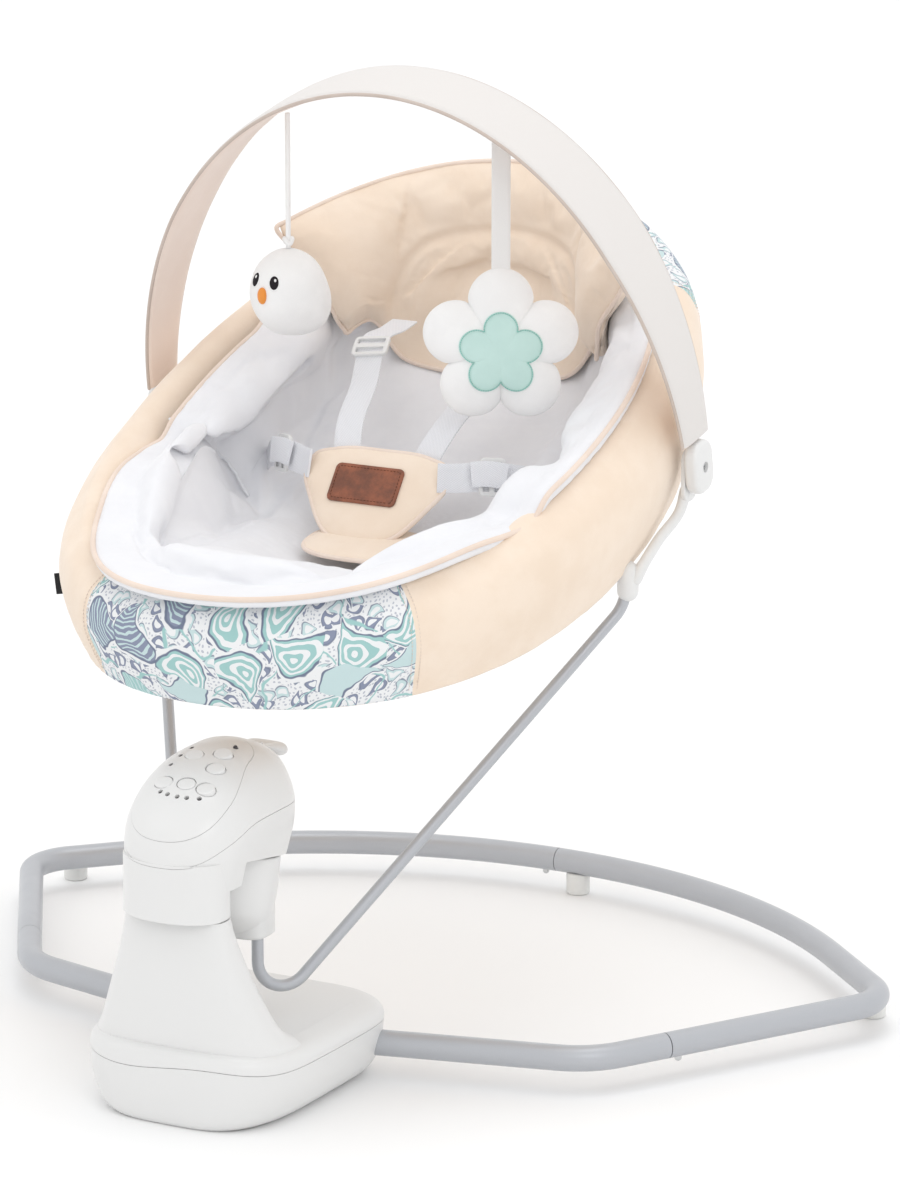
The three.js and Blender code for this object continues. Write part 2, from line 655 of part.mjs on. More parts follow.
/** Cover: a bowl with a turned hem. Insert: a soft liner that fills the bowl and laps over its rim. */
function seatFabric() {
  const below = [0.25, 0.5, 0.7, 0.85, SEAT.floorEdge].map((scale) => floorRing(scale));
  const above = [0.66, 0.45, 0.22].map((scale) => floorRing(scale, 10));
  const wall = [...WALL_OUTSIDE, ...WALL_INSIDE].map((place) => wallRing(...place));
  piece('seat_cover', loft([...below, ...wall, ...above]), peachFabric);

  const padBelow = [0.2, 0.42, 0.63].map((scale) => floorRing(scale, 12));
  const padWall = PAD_WALL.map((place) => wallRing(...place));
  const padAbove = [0.6, 0.4, 0.18].map((scale) => floorRing(scale, 24));
  piece('insert_pad', loft([...padBelow, ...padWall, ...padAbove]), whiteFabric);
}

/** Rail that the fabric is stretched on, under the hem all round. */
function seatFrame() {
  const section = [[-5, -11], [-3.2, -6], [-5, -0.6], [-14, -0.6], [-17, -6], [-14, -11]];
  const rings = AROUND.map((angle) => {
    const { point, out, up } = hem(angle);
    return section.map(([o, u]) => point.clone().addScaledVector(out, o).addScaledVector(up, u));
  });
  piece('seat_frame', loft(rings, true), whitePlastic);
}

/** Side arm of the seat: a socket for the rod end, and a run up to the lug that the bow turns on. */
function seatBrackets() {
  const [x, y, top] = ROD.end;
  const [px, py, pz] = TOY_BAR.pivot;
  const bore = post(ROD_RADIUS + GAP + 0.1, 300, top + GAP, 12).translate(x, y, 0);
  for (const [name, side] of SIDES) {
    const socket = post(9, 393.5, 407, 14).translate(x + 2, y, 0);
    const ear = post(5, 397, 414, 12).translate(x + 11.5, y + 1, 0);
    const arm = bar([v3(x + 12, y + 2, 406), v3(x + 15, 228, 430), v3(px - 9.8, py - 2, pz - 24)], 4.5, 8);
    const lug = roundedPlate(24, 46, 4, 10, 4).rotateY(Math.PI / 2).rotateX(Math.PI / 2)
      .translate(px - 7.6, py, pz - 8);
    const shape = cut(join(socket, ear, arm, lug), bore);
    piece(`seat_bracket_${name}`, side > 0 ? shape : mirrored(shape), whitePlastic);
  }
}

// ---------------------------------------------------------------- pillow and harness
/** Flat pad with rounded edges, made from an outline in X and Y. */
function padOf(outline, thickness, inset) {
  const ring = (scale, z) => outline.map(([x, y]) => v3(x * scale, y * scale, z));
  return loft([ring(1 - inset, -thickness / 2), ring(1, 0), ring(1 - inset, thickness / 2)]);
}

/** Point part of the way along a row of points. */
function along(points, place) {
  const index = Math.min(Math.floor(place), points.length - 2);
  return points[index].clone().lerp(points[index + 1], place - index);
}

/** Pillow that lines the head end of the insert and stands up past the rim. */
function headPillow() {
  const lowerEdge = 0.5;         // share of the seat's depth behind its middle
  const rings = [];
  for (let angle = 34; angle <= 146; angle += 14) {
    const at = rad(angle);
    const start = Math.min(2.2, Math.max(0, (lowerEdge / Math.sin(at) - 0.45) / 0.15));
    const under = [floorPoint(at, 0.45, 27), floorPoint(at, 0.6, 28),
      ...[[-70, 31], [-64, 46], [-56, 69], [-33, 90], [-13, 122]].map((place) => wallPoint(at, ...place))];
    const over = [floorPoint(at, 0.45, 40), floorPoint(at, 0.6, 44),
      ...[[-86, 48], [-81, 62], [-72, 82], [-52, 103], [-24, 127]].map((place) => wallPoint(at, ...place))];
    const steps = [0, 0.2, 0.4, 0.6, 0.8, 1].map((share) => start + (6 - start) * share);
    const back = [...steps].reverse();
    rings.push([...steps.map((place) => along(under, place)), ...back.map((place) => along(over, place))]);
  }
  piece('head_pillow', loft(rings), peachFabric);
}

/** Strap of constant width along places on one side, with a given sideways direction. */
function strapAlong(places, side, { width, thick }, across = v3(1, 0, 0)) {
  const points = places.map(([x, y, z]) => v3(side * x, y, z));
  const rings = points.map((point, i) => {
    const before = points[Math.max(i - 1, 0)];
    const after = points[Math.min(i + 1, points.length - 1)];
    const forward = after.clone().sub(before).normalize();
    const wide = across.clone().addScaledVector(forward, -across.dot(forward)).normalize();
    const proud = forward.clone().cross(wide);
    return [[-1, -1], [1, -1], [1, 1], [-1, 1]].map(([a, b]) => point.clone()
      .addScaledVector(wide, (a * width) / 2).addScaledVector(proud, (b * thick) / 2));
  });
  return loft(rings);
}

const BUCKLE = { y: 165, z: 452, tilt: 52, thick: 12 };
const WEB = { width: 25, thick: 1.8 };     // harness webbing
const CROTCH = { width: 34, thick: 2.5 };

/** Buckle pad and the five straps that meet at it. */
function harness() {
  const outline = [[-68, 22], [-64, 36], [-46, 43], [0, 46], [46, 43], [64, 36], [68, 22], [56, -4], [26, -38],
    [0, -44], [-26, -38], [-56, -4]];
  const pad = padOf(outline, BUCKLE.thick, 0.08).rotateX(rad(BUCKLE.tilt)).translate(0, BUCKLE.y, BUCKLE.z);
  piece('buckle_pad', pad, peachFabric);
  for (const [name, side] of SIDES) {
    const shoulder = [[62, 322, 566], [62, 294, 566], [52, 250, 530], [44, 210, 502]];
    piece(`shoulder_strap_${name}`, strapAlong(shoulder, side, WEB), webbing);
    const waist = [[72, 180, 474], [99, 196, 476], [120, 212, 472], [134, 228, 464]];
    piece(`waist_strap_${name}`, strapAlong(waist, side, WEB, v3(0, 0, 1)), webbing);
  }
  const crotch = [[0, 168, 416], [0, 160, 410], [0, 154, 404]];
  piece('crotch_strap', strapAlong(crotch, 1, CROTCH), peachFabric);
}

// ---------------------------------------------------------------- toy bar and toys
/** Direction from the pivots to the top of the bow, and the band's width direction. */
const bowUp = v3(0, -Math.sin(rad(TOY_BAR.lean)), Math.cos(rad(TOY_BAR.lean)));
const bowWide = v3(0, Math.cos(rad(TOY_BAR.lean)), Math.sin(rad(TOY_BAR.lean)));

function bowPoint(angle) {
  const [x, y, z] = TOY_BAR.pivot;
  return v3(x * Math.cos(angle), y, z).addScaledVector(bowUp, TOY_BAR.rise * Math.sin(angle));
}

/** Cloth-covered band between the two end caps, narrower at its ends. */
function toyBar() {
  const steps = 28;
  const start = 0.078;           // angle at which the band comes out of its end cap
  const fullWidth = 0.6;         // sine of the angle where the band reaches its full width
  const rings = Array.from({ length: steps + 1 }, (_, i) => {
    const angle = start + ((Math.PI - 2 * start) * i) / steps;
    const forward = bowPoint(angle + 0.01).sub(bowPoint(angle - 0.01)).normalize();
    const proud = forward.clone().cross(bowWide);
    const rise = Math.min(1, Math.sin(angle) / fullWidth);
    const half = (TOY_BAR.endWidth + (TOY_BAR.width - TOY_BAR.endWidth) * rise) / 2;
    const section = [[-half, 0], [-half + 3, -TOY_BAR.thick / 2], [half - 3, -TOY_BAR.thick / 2], [half, 0],
      [half - 3, TOY_BAR.thick / 2], [-half + 3, TOY_BAR.thick / 2]];
    return section.map(([w, h]) => bowPoint(angle).addScaledVector(bowWide, w).addScaledVector(proud, h));
  });
  piece('toy_bar', loft(rings), bandFabric);
}

/** End caps of the bow, which turn on the seat's lugs. */
function toyBarEnds() {
  const [x, y, z] = TOY_BAR.pivot;
  for (const [name, side] of SIDES) {
    const cap = roundedPlate(34, 46, 13, 14, 5).rotateY(Math.PI / 2).rotateX(Math.PI / 2)
      .rotateX(rad(TOY_BAR.lean)).translate(side * (x + 1.5), y, z);
    const screwWell = post(4.5, -6, 6, 12).rotateY(Math.PI / 2).translate(side * (x + 11), y, z);
    piece(`toy_bar_end_${name}`, cut(cap, screwWell), whitePlastic);
  }
}

/** Plush bird on a cord and plush flower on a ribbon, hung from the bow. */
function toys() {
  const bird = new THREE.SphereGeometry(1, 16, 12).scale(37, 33, 40).translate(BIRD.x, BIRD.y, BIRD.centre);
  piece('bird_toy', bird, whiteFabric);
  const birdTop = BIRD.centre + 40 + GAP;
  const cord = [0, 0.5, 1].map((t) => v3(BIRD.x, BIRD.y, birdTop + t * (BIRD.top - birdTop)));
  piece('bird_cord', bar(cord, 2.2, 8), whiteFabric);

  const petals = Array.from({ length: 40 }, (_, i) => {
    const angle = (2 * Math.PI * i) / 40;
    const reach = FLOWER.radius * (0.84 + 0.16 * Math.cos(5 * (angle - Math.PI / 2)));
    return [reach * Math.cos(angle), reach * Math.sin(angle)];
  });
  const flower = padOf(petals, FLOWER.thick, 0.16).rotateX(Math.PI / 2).rotateZ(rad(FLOWER.turn));
  piece('flower_toy', flower.translate(FLOWER.x, FLOWER.y, FLOWER.centre), whiteFabric);
  const flowerTop = FLOWER.centre + FLOWER.radius + GAP;
  const ribbon = new THREE.BoxGeometry(FLOWER.ribbon, 1.6, FLOWER.top - flowerTop).rotateZ(rad(FLOWER.turn));
  piece('flower_strap', ribbon.translate(FLOWER.x, FLOWER.y, (FLOWER.top + flowerTop) / 2), whiteFabric);
}

// ---------------------------------------------------------------- the whole swing
floorLoop();
tubeLocks();
drillTubes();
feet();
baseShells();
headShells();
panelParts();
lampBar('speed_light_bar', SPEED_LIGHTS, -14.5);
lampBar('timer_light_bar', TIMER_LIGHTS, -21);
releaseLever();
drive();
hub();
seatFrame();
seatFabric();
seatBrackets();
headPillow();
harness();
toyBar();
toyBarEnds();
toys();
swing.position.y = -CENTRE_Y;

export default swing;
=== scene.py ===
import json
import math

import bmesh
import bpy
import numpy as np
from mathutils import Matrix, Vector, noise


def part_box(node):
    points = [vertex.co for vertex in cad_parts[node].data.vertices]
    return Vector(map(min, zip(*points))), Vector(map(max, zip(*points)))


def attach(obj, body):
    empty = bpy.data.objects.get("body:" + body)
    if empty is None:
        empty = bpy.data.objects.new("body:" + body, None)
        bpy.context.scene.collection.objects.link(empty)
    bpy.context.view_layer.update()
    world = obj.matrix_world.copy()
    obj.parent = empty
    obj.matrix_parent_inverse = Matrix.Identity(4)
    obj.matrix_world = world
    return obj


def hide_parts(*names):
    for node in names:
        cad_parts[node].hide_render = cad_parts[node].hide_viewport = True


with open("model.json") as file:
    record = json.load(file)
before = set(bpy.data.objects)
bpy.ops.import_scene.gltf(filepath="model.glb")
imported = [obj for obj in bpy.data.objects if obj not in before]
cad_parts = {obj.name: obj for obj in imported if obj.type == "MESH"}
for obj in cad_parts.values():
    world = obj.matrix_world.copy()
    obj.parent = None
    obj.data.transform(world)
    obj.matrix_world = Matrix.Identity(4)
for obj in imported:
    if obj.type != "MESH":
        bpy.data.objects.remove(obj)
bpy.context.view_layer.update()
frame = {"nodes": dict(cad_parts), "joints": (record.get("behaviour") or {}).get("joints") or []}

# ---------------------------------------------------------------- driving sizes
# Lengths are in millimetres in the CAD source's own drawing, whose y = 0 is where the tubes
# leave the base. The toy bar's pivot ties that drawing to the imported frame.
MM = 0.001
JOINTS = {joint["name"]: joint for joint in frame["joints"]}
PIVOT_Y = 264
CENTRE_Y = PIVOT_Y - JOINTS["toy_bar_pivot"]["pos_m"][1] / MM

TUBE = dict(radius=11, height=30)
STUD = dict(radius=3.15, press=2.6)
LOOP = dict(exit=(97.5, 0), bend=(274, 42), bend_radius=70, joint=(313, 104), corner=(433, 298),
            corner_radius=45, back_radius=480, back_centre=52, back_angle=45, gap=0.8,
            hidden=45, stud_from_joint=13)
FOOT = dict(width=22, round=10.9, height=20.5, edge=2.2)
FEET = {"left": (-419.5, 353), "right": (403, 336), "rear": (20, 533)}
ROD_RADIUS = 5
ROD = dict(corners=[(34, -92, 164), (34, -92, 62), (229, 195, 380), (229, 195, 405)], radii=(25, 32))
PARTING_Z = 50
NECK_Z = 175
AXLE_Y, AXLE_Z, AXLE_LEAN = -85, 207, math.radians(10)
HUB_RADIUS = 46
SEAT = dict(centre=222, front=349, back=314, half=231, square=2.12, hem=353, slope=0.0449,
            curve=0.000524, side_rise=0.3, sag=34)
BAR = dict(pivot=(262, 264, 489), rise=322, lean=math.radians(10), width=78, end_width=44, thick=7)
BIRD = dict(x=-105, y=213, top=771, centre=615)
FLOWER = dict(x=101, y=213, top=771, centre=586, radius=68, turn=math.radians(28), ribbon=16)
BUCKLE = dict(y=165, z=452, lean=math.radians(52))
LEVER = dict(hinge=(0, -50, 290), droop=math.radians(23), width=30)
PANEL = dict(point=(0, -140, 288), tilt=math.radians(26), crown=0.0026)
KEYS = {"timer_button": (-7, 21), "music_button": (15, 29), "volume_button": (19, 9),
        "nature_button": (-17, -15), "speed_down_button": (4, -14), "speed_up_button": (22, -15)}
KEY_RADIUS = 7.4
LIGHT = dict(hole=2.1, radius=1.95)
SPEED_LIGHTS = [(u, -28.5 + 0.01 * (u - 3) ** 2) for u in (-15, -7, 2.5, 11, 21)]
TIMER_LIGHTS = [(-17, 33), (-20, 20), (-22, 7), (17, 45)]
SIDES = (("right", 1), ("left", -1))


# ---------------------------------------------------------------- point helpers
def row(points):
    """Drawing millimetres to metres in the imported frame."""
    moved = np.array(points, float).reshape(-1, 3)
    moved[:, 1] -= CENTRE_Y
    return moved * MM


def power(value, exponent):
    """Power that keeps its base's sign."""
    return np.sign(value) * np.abs(value) ** exponent


def unit(vector):
    vector = np.asarray(vector, float)
    return vector / np.maximum(np.linalg.norm(vector, axis=-1, keepdims=True), 1e-12)


def step(value, low, high):
    """0 below low, 1 above high, smooth between."""
    t = np.clip((np.asarray(value, float) - low) / (high - low), 0, 1)
    return t * t * (3 - 2 * t)


def turn_x(points, angle):
    """Points turned about the X axis."""
    c, s = math.cos(angle), math.sin(angle)
    return np.asarray(points, float) @ np.array([[1, 0, 0], [0, c, s], [0, -s, c]])


def smooth_line(points, count, closed=False):
    """Evenly spaced points on a smooth curve that passes through the given ones."""
    p = np.asarray(points, float)
    if closed:
        p = np.vstack([p[-1:], p, p[:2]])
    h = np.linalg.norm(np.diff(p, axis=0), axis=1)
    slope = np.diff(p, axis=0) / h[:, None]
    tangent = np.vstack([slope[:1], (slope[:-1] * h[1:, None] + slope[1:] * h[:-1, None])
                         / (h[:-1] + h[1:])[:, None], slope[-1:]])
    spans = range(1, len(p) - 2) if closed else range(len(p) - 1)
    fine = []
    for i in spans:
        t = np.linspace(0, 1, 40, endpoint=False)[:, None]
        fine.append((2 * t**3 - 3 * t**2 + 1) * p[i] + (t**3 - 2 * t**2 + t) * h[i] * tangent[i]
                    + (3 * t**2 - 2 * t**3) * p[i + 1] + (t**3 - t**2) * h[i] * tangent[i + 1])
    fine = np.vstack(fine + [p[spans[-1] + 1][None]])
    length = np.concatenate([[0], np.cumsum(np.linalg.norm(np.diff(fine, axis=0), axis=1))])
    at = np.linspace(0, length[-1], count + 1)[:-1] if closed else np.linspace(0, length[-1], count)
    return np.stack([np.interp(at, length, fine[:, k]) for k in range(p.shape[1])], axis=1)


def angles_round(count):
    """Equal steps once round a circle."""
    return 2 * np.pi * np.arange(count) / count


def at_height(outline, z):
    """Plane outline as points at one height."""
    return np.column_stack([outline, np.full(len(outline), z)])


def filleted(corners, radii, degrees=4):
    """Polyline whose inner corners are rounded with the given radii."""
    corners = [np.asarray(c, float) for c in corners]
    points = [corners[0]]
    for i in range(1, len(corners) - 1):
        into, out = unit(corners[i] - corners[i - 1]), unit(corners[i + 1] - corners[i])
        turn = math.acos(np.clip(into @ out, -1, 1))
        radius = radii[i - 1]
        start = corners[i] - into * radius * math.tan(turn / 2)
        inward = unit(out - into * (out @ into))
        centre = start + inward * radius
        parts = max(3, round(math.degrees(turn) / degrees))
        for k in range(parts + 1):
            a = turn * k / parts
            points.append(centre - inward * radius * math.cos(a) + into * radius * math.sin(a))
    points.append(corners[-1])
    return np.array(points)


def dense(points, spacing):
    """Straight runs of a polyline split into steps of about the given length."""
    rows = [points[:1]]
    for a, b in zip(points[:-1], points[1:]):
        parts = max(1, int(round(np.linalg.norm(b - a) / spacing)))
        rows.append(a + (b - a) * np.linspace(0, 1, parts + 1)[1:, None])
    return np.vstack(rows)


def straight(start, end, spacing):
    return dense(np.array([start, end], float), spacing)


def oval(z, y, half, front, back, square=2.0, square_back=None, flare=0.0, count=144):
    """Level superellipse ring round (0, y), with its own depth and squareness front and back."""
    angle = angles_round(count)
    c, s = np.cos(angle), np.sin(angle)
    exponent = np.where(s < 0, 2 / square, 2 / (square_back or square))
    dy = np.where(s < 0, front, back) * power(s, exponent)
    return np.stack([half * power(c, exponent) * (1 + flare * dy), y + dy, np.full(count, z)], axis=1)


# ---------------------------------------------------------------- mesh helpers
def loft_faces(rows, count, closed_rows=False):
    """Quads between rows of closed rings."""
    faces = []
    for r in range(rows if closed_rows else rows - 1):
        a0, b0 = r * count, ((r + 1) % rows) * count
        for i in range(count):
            j = (i + 1) % count
            faces.append((a0 + i, a0 + j, b0 + j, b0 + i))
    return faces


def add_object(name, data):
    obj = bpy.data.objects.new(name, data)
    bpy.context.scene.collection.objects.link(obj)
    return obj


def make(name, points, faces, paint, sharp=None, lay=None):
    """New mesh object from drawing points, smooth shaded, with its faces pointing out."""
    mesh = bpy.data.meshes.new(name)
    mesh.from_pydata(row(points).tolist(), [], [tuple(int(i) for i in f) for f in faces])
    work = bmesh.new()
    work.from_mesh(mesh)
    bmesh.ops.recalc_face_normals(work, faces=work.faces)
    work.to_mesh(mesh)
    work.free()
    if lay is not None:
        cloth = mesh.attributes.new("cloth_at", "FLOAT_VECTOR", "POINT")
        cloth.data.foreach_set("vector", np.asarray(lay, np.float32).ravel())
    obj = add_object(name, mesh)
    finish_shading(obj, sharp)
    mesh.materials.append(paint)
    return obj


def finish_shading(obj, sharp=None):
    obj.data.polygons.foreach_set("use_smooth", [True] * len(obj.data.polygons))
    if sharp:
        obj.data.set_sharp_from_angle(angle=math.radians(sharp))


def lay_of(rings):
    """Distance round and along a loft, in metres, for weaves that follow the cloth."""
    rings = np.asarray(rings)
    round_ = np.linalg.norm(np.diff(rings, axis=1, prepend=rings[:, -1:]), axis=2)
    round_[:, 0] = 0
    along = np.linalg.norm(np.diff(rings, axis=0, prepend=rings[:1]), axis=2)
    widest = np.cumsum(round_, axis=1)[np.argmax(round_.sum(axis=1))]
    u = np.broadcast_to(widest, rings.shape[:2])
    v = np.cumsum(along, axis=0)
    return np.stack([u, v, np.zeros_like(u)], axis=2).reshape(-1, 3) * MM


def loft(name, rings, paint, closed_rows=False, sharp=None):
    """Skin through rings of equal count, closed with a fan at each end."""
    rings = np.asarray(rings, float)
    rows, count = rings.shape[:2]
    faces = loft_faces(rows, count, closed_rows)
    points, lay = rings.reshape(-1, 3), lay_of(rings)
    if not closed_rows:
        for r in (0, rows - 1):
            middle = len(points)
            points = np.vstack([points, rings[r].mean(axis=0)])
            lay = np.vstack([lay, lay[r * count:(r + 1) * count].mean(axis=0)])
            faces += [(middle, r * count + i, r * count + (i + 1) % count) for i in range(count)]
    return make(name, points, faces, paint, sharp, lay)


def frames_along(path, closed=False):
    """Tangent and two side directions at each point, without twist."""
    path = np.asarray(path, float)
    if closed:
        tangent = unit(np.roll(path, -1, axis=0) - np.roll(path, 1, axis=0))
    else:
        tangent = unit(np.gradient(path, axis=0))
    side = np.zeros_like(path)
    first = np.array([0, 0, 1.0]) if abs(tangent[0][2]) < 0.9 else np.array([0, 1.0, 0])
    side[0] = unit(first - tangent[0] * (first @ tangent[0]))
    for i in range(1, len(path)):
        kept = side[i - 1] - tangent[i] * (side[i - 1] @ tangent[i])
        side[i] = unit(kept)
    return tangent, side, np.cross(tangent, side)


def tube_rings(path, radius, sides=24, round_ends=0):
    """Rings of a round tube along a path. Its ends can be rounded off with a number of steps."""
    path = np.asarray(path, float)
    tangent, side, other = frames_along(path)
    radius = np.broadcast_to(np.asarray(radius, float), len(path))
    angle = angles_round(sides)
    c, s = np.cos(angle)[:, None], np.sin(angle)[:, None]

    def circle(i, r, shift):
        return path[i] + tangent[i] * shift + r * (c * side[i] + s * other[i])

    rings = [circle(i, radius[i], 0) for i in range(len(path))]
    for k in range(1, round_ends + 1):
        a = math.pi / 2 * k / (round_ends + 0.3)
        rings.insert(0, circle(0, radius[0] * math.cos(a), -radius[0] * math.sin(a)))
        rings.append(circle(-1, radius[-1] * math.cos(a), radius[-1] * math.sin(a)))
    return np.array(rings)


def tube(name, path, radius, paint, sides=24, round_ends=0, sharp=50):
    return loft(name, tube_rings(path, radius, sides, round_ends), paint, sharp=sharp)


def ring_tube(name, path, radius, paint, sides=12):
    """Round welt along a closed path."""
    path = np.asarray(path, float)
    tangent, side, other = frames_along(path, closed=True)
    twist = math.atan2(other[0] @ side[-1], side[0] @ side[-1])
    share = np.linspace(0, 1, len(path))
    rings = []
    for i in range(len(path)):
        angle = (angles_round(sides) - twist * share[i])[:, None]
        rings.append(path[i] + radius * (np.cos(angle) * side[i] + np.sin(angle) * other[i]))
    return loft(name, rings, paint, closed_rows=True)


# Lower half of a ribbon's section, as shares of its width and thickness. The upper half mirrors it.
RIBBON_LOWER = [(-0.5, -0.3), (-0.47, -0.5), (-0.3, -0.5), (-0.1, -0.5),
                (0.1, -0.5), (0.3, -0.5), (0.47, -0.5), (0.5, -0.3)]
RIBBON_SECTION = RIBBON_LOWER + [(a, -b) for a, b in RIBBON_LOWER[::-1]]


def ribbon(name, path, width, thick, paint, across=(1, 0, 0)):
    """Flat webbing along a path, with softly rounded edges. Width may change along it."""
    path = np.asarray(path, float)
    tangent = unit(np.gradient(path, axis=0))
    across = np.broadcast_to(np.asarray(across, float), path.shape)
    wide = unit(across - tangent * np.sum(across * tangent, axis=1, keepdims=True))
    proud = np.cross(tangent, wide)
    width = np.broadcast_to(np.asarray(width, float), len(path))
    rings = [[path[i] + wide[i] * a * width[i] + proud[i] * b * thick for a, b in RIBBON_SECTION]
             for i in range(len(path))]
    obj = loft(name, rings, paint, sharp=40)
    length = np.concatenate([[0], np.cumsum(np.linalg.norm(np.diff(path, axis=0), axis=1))])
    lay = [(a * width[i], length[i], 0) for i in range(len(path)) for a, _ in RIBBON_SECTION]
    lay += [(0, 0, 0), (0, length[-1], 0)]
    obj.data.attributes["cloth_at"].data.foreach_set("vector", (np.array(lay, np.float32) * MM).ravel())
    return obj


def rounded_outline(width, height, radius, arc=8):
    """Points of a rounded rectangle round the origin."""
    points = []
    for cx, cy, start in ((1, -1, -90), (1, 1, 0), (-1, 1, 90), (-1, -1, 180)):
        for k in range(arc + 1):
            a = math.radians(start + 90 * k / arc)
            points.append((cx * (width / 2 - radius) + radius * math.cos(a),
                           cy * (height / 2 - radius) + radius * math.sin(a)))
    return np.array(points)


def slab_rings(outline, bottom, top, edge, steps=4):
    """Rings of a plate drawn by an outline in X and Y, with rounded rims top and bottom."""
    outline = np.asarray(outline, float)
    middle = outline.mean(axis=0)
    reach = np.linalg.norm(outline - middle, axis=1, keepdims=True)
    quarter = math.pi / 2
    turns = [(bottom, 1, quarter * k / steps) for k in range(steps + 1)]
    turns += [(top, -1, quarter * (1 - k / steps)) for k in range(steps + 1)]
    rings = []
    for rim, sign, a in turns:
        inset = edge * (1 - math.sin(a))
        rings.append(at_height(middle + (outline - middle) * (1 - inset / reach),
                               rim + sign * edge * (1 - math.cos(a))))
    return np.array(rings)


def join_meshes(name, objects):
    """One object from several, keeping their materials."""
    work = bmesh.new()
    paints = []
    for obj in objects:
        start = len(work.faces)
        work.from_mesh(obj.data)
        work.faces.ensure_lookup_table()
        shift = {}
        for k, paint in enumerate(obj.data.materials):
            if paint not in paints:
                paints.append(paint)
            shift[k] = paints.index(paint)
        for face in work.faces[start:]:
            face.material_index = shift.get(face.material_index, 0)
    mesh = bpy.data.meshes.new(name)
    work.to_mesh(mesh)
    work.free()
    for paint in paints:
        mesh.materials.append(paint)
    for obj in objects:
        bpy.data.objects.remove(obj)
    return add_object(name, mesh)


def apply_modifiers(obj):
    graph = bpy.context.evaluated_depsgraph_get()
    mesh = bpy.data.meshes.new_from_object(obj.evaluated_get(graph), depsgraph=graph)
    obj.modifiers.clear()
    obj.data = mesh
    return obj


def carve(obj, tool, operation="DIFFERENCE"):
    """Boolean with a tool, which is used up."""
    modifier = obj.modifiers.new("carve", "BOOLEAN")
    modifier.operation = operation
    modifier.solver = "MANIFOLD"
    modifier.object = tool
    apply_modifiers(obj)
    bpy.data.objects.remove(tool)
    return obj


def copy_of(obj, name):
    return add_object(name, obj.data.copy())


def install(obj, body, slot, *nodes, sharp=None):
    """Rides on a body and stands for CAD nodes; the slot argument is not used. Edges over sharp degrees stay
    hard.
    """
    if sharp:
        finish_shading(obj, sharp)
    if obj.type == "MESH":
        obj.data.validate(clean_customdata=False)
    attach(obj, body)
    if nodes:
        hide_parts(*nodes)
    return obj


# ---------------------------------------------------------------- materials
class Paint:
    """Small builder for one procedural material."""

    def __init__(self, name, roughness=0.5, metallic=0.0, **sockets):
        self.material = bpy.data.materials.new(name)
        self.material.use_nodes = True
        self.tree = self.material.node_tree
        self.shader = self.tree.nodes["Principled BSDF"]
        self.shader.inputs["Roughness"].default_value = roughness
        self.shader.inputs["Metallic"].default_value = metallic
        for socket, value in sockets.items():
            self.shader.inputs[socket.replace("_", " ")].default_value = value
        self.place = self.node("ShaderNodeTexCoord").outputs["Object"]

    def node(self, kind, **values):
        node = self.tree.nodes.new(kind)
        for name, value in values.items():
            setattr(node, name, value)
        return node

    def put(self, socket, value):
        if isinstance(value, bpy.types.NodeSocket):
            self.tree.links.new(value, socket)
        elif value is not None:
            socket.default_value = value

    def math(self, operation, a, b=None, c=None):
        node = self.node("ShaderNodeMath", operation=operation)
        for socket, value in zip(node.inputs, (a, b, c)):
            self.put(socket, value)
        return node.outputs[0]

    def vector(self, operation, a, b=None):
        node = self.node("ShaderNodeVectorMath", operation=operation)
        self.put(node.inputs[0], a)
        self.put(node.inputs[1], b)
        return node.outputs["Value"] if operation in ("LENGTH", "DOT_PRODUCT") else node.outputs[0]

    def noise(self, scale, detail=3.0, roughness=0.5):
        node = self.node("ShaderNodeTexNoise")
        self.put(node.inputs["Vector"], self.place)
        node.inputs["Scale"].default_value = scale
        node.inputs["Detail"].default_value = detail
        node.inputs["Roughness"].default_value = roughness
        return node.outputs[0]

    def cells(self, scale, at=None, feature="F1", randomness=1.0):
        node = self.node("ShaderNodeTexVoronoi", voronoi_dimensions="2D" if at else "3D", feature=feature)
        self.put(node.inputs["Vector"], at or self.place)
        node.inputs["Scale"].default_value = scale
        node.inputs["Randomness"].default_value = randomness
        return node

    def span(self, value, low, high, out_low=0.0, out_high=1.0):
        node = self.node("ShaderNodeMapRange", interpolation_type="SMOOTHSTEP")
        for socket, number in zip(node.inputs, (value, low, high, out_low, out_high)):
            self.put(socket, number)
        return node.outputs[0]

    def mix(self, share, a, b):
        node = self.node("ShaderNodeMix", data_type="RGBA")
        self.put(node.inputs["Factor"], share)
        self.put(node.inputs["A"], (*a, 1) if isinstance(a, tuple) else a)
        self.put(node.inputs["B"], (*b, 1) if isinstance(b, tuple) else b)
        return node.outputs["Result"]

    def colour(self, value):
        self.put(self.shader.inputs["Base Color"], (*value, 1) if isinstance(value, tuple) else value)
        return self

    def bump(self, height, depth, strength=1.0):
        """Fine relief, depth in millimetres."""
        node = self.node("ShaderNodeBump")
        node.inputs["Distance"].default_value = depth * MM
        node.inputs["Strength"].default_value = strength
        self.put(node.inputs["Height"], height)
        if self.shader.inputs["Normal"].is_linked:
            self.put(node.inputs["Normal"], self.shader.inputs["Normal"].links[0].from_socket)
        self.put(self.shader.inputs["Normal"], node.outputs["Normal"])
        return self

    def rough(self, value, low, high):
        self.put(self.shader.inputs["Roughness"], self.span(value, 0.3, 0.7, low, high))
        return self

    def cloth_place(self):
        node = self.node("ShaderNodeAttribute", attribute_name="cloth_at")
        return node.outputs["Vector"]


def shaded(tone, share):
    return tuple(share * c for c in tone)


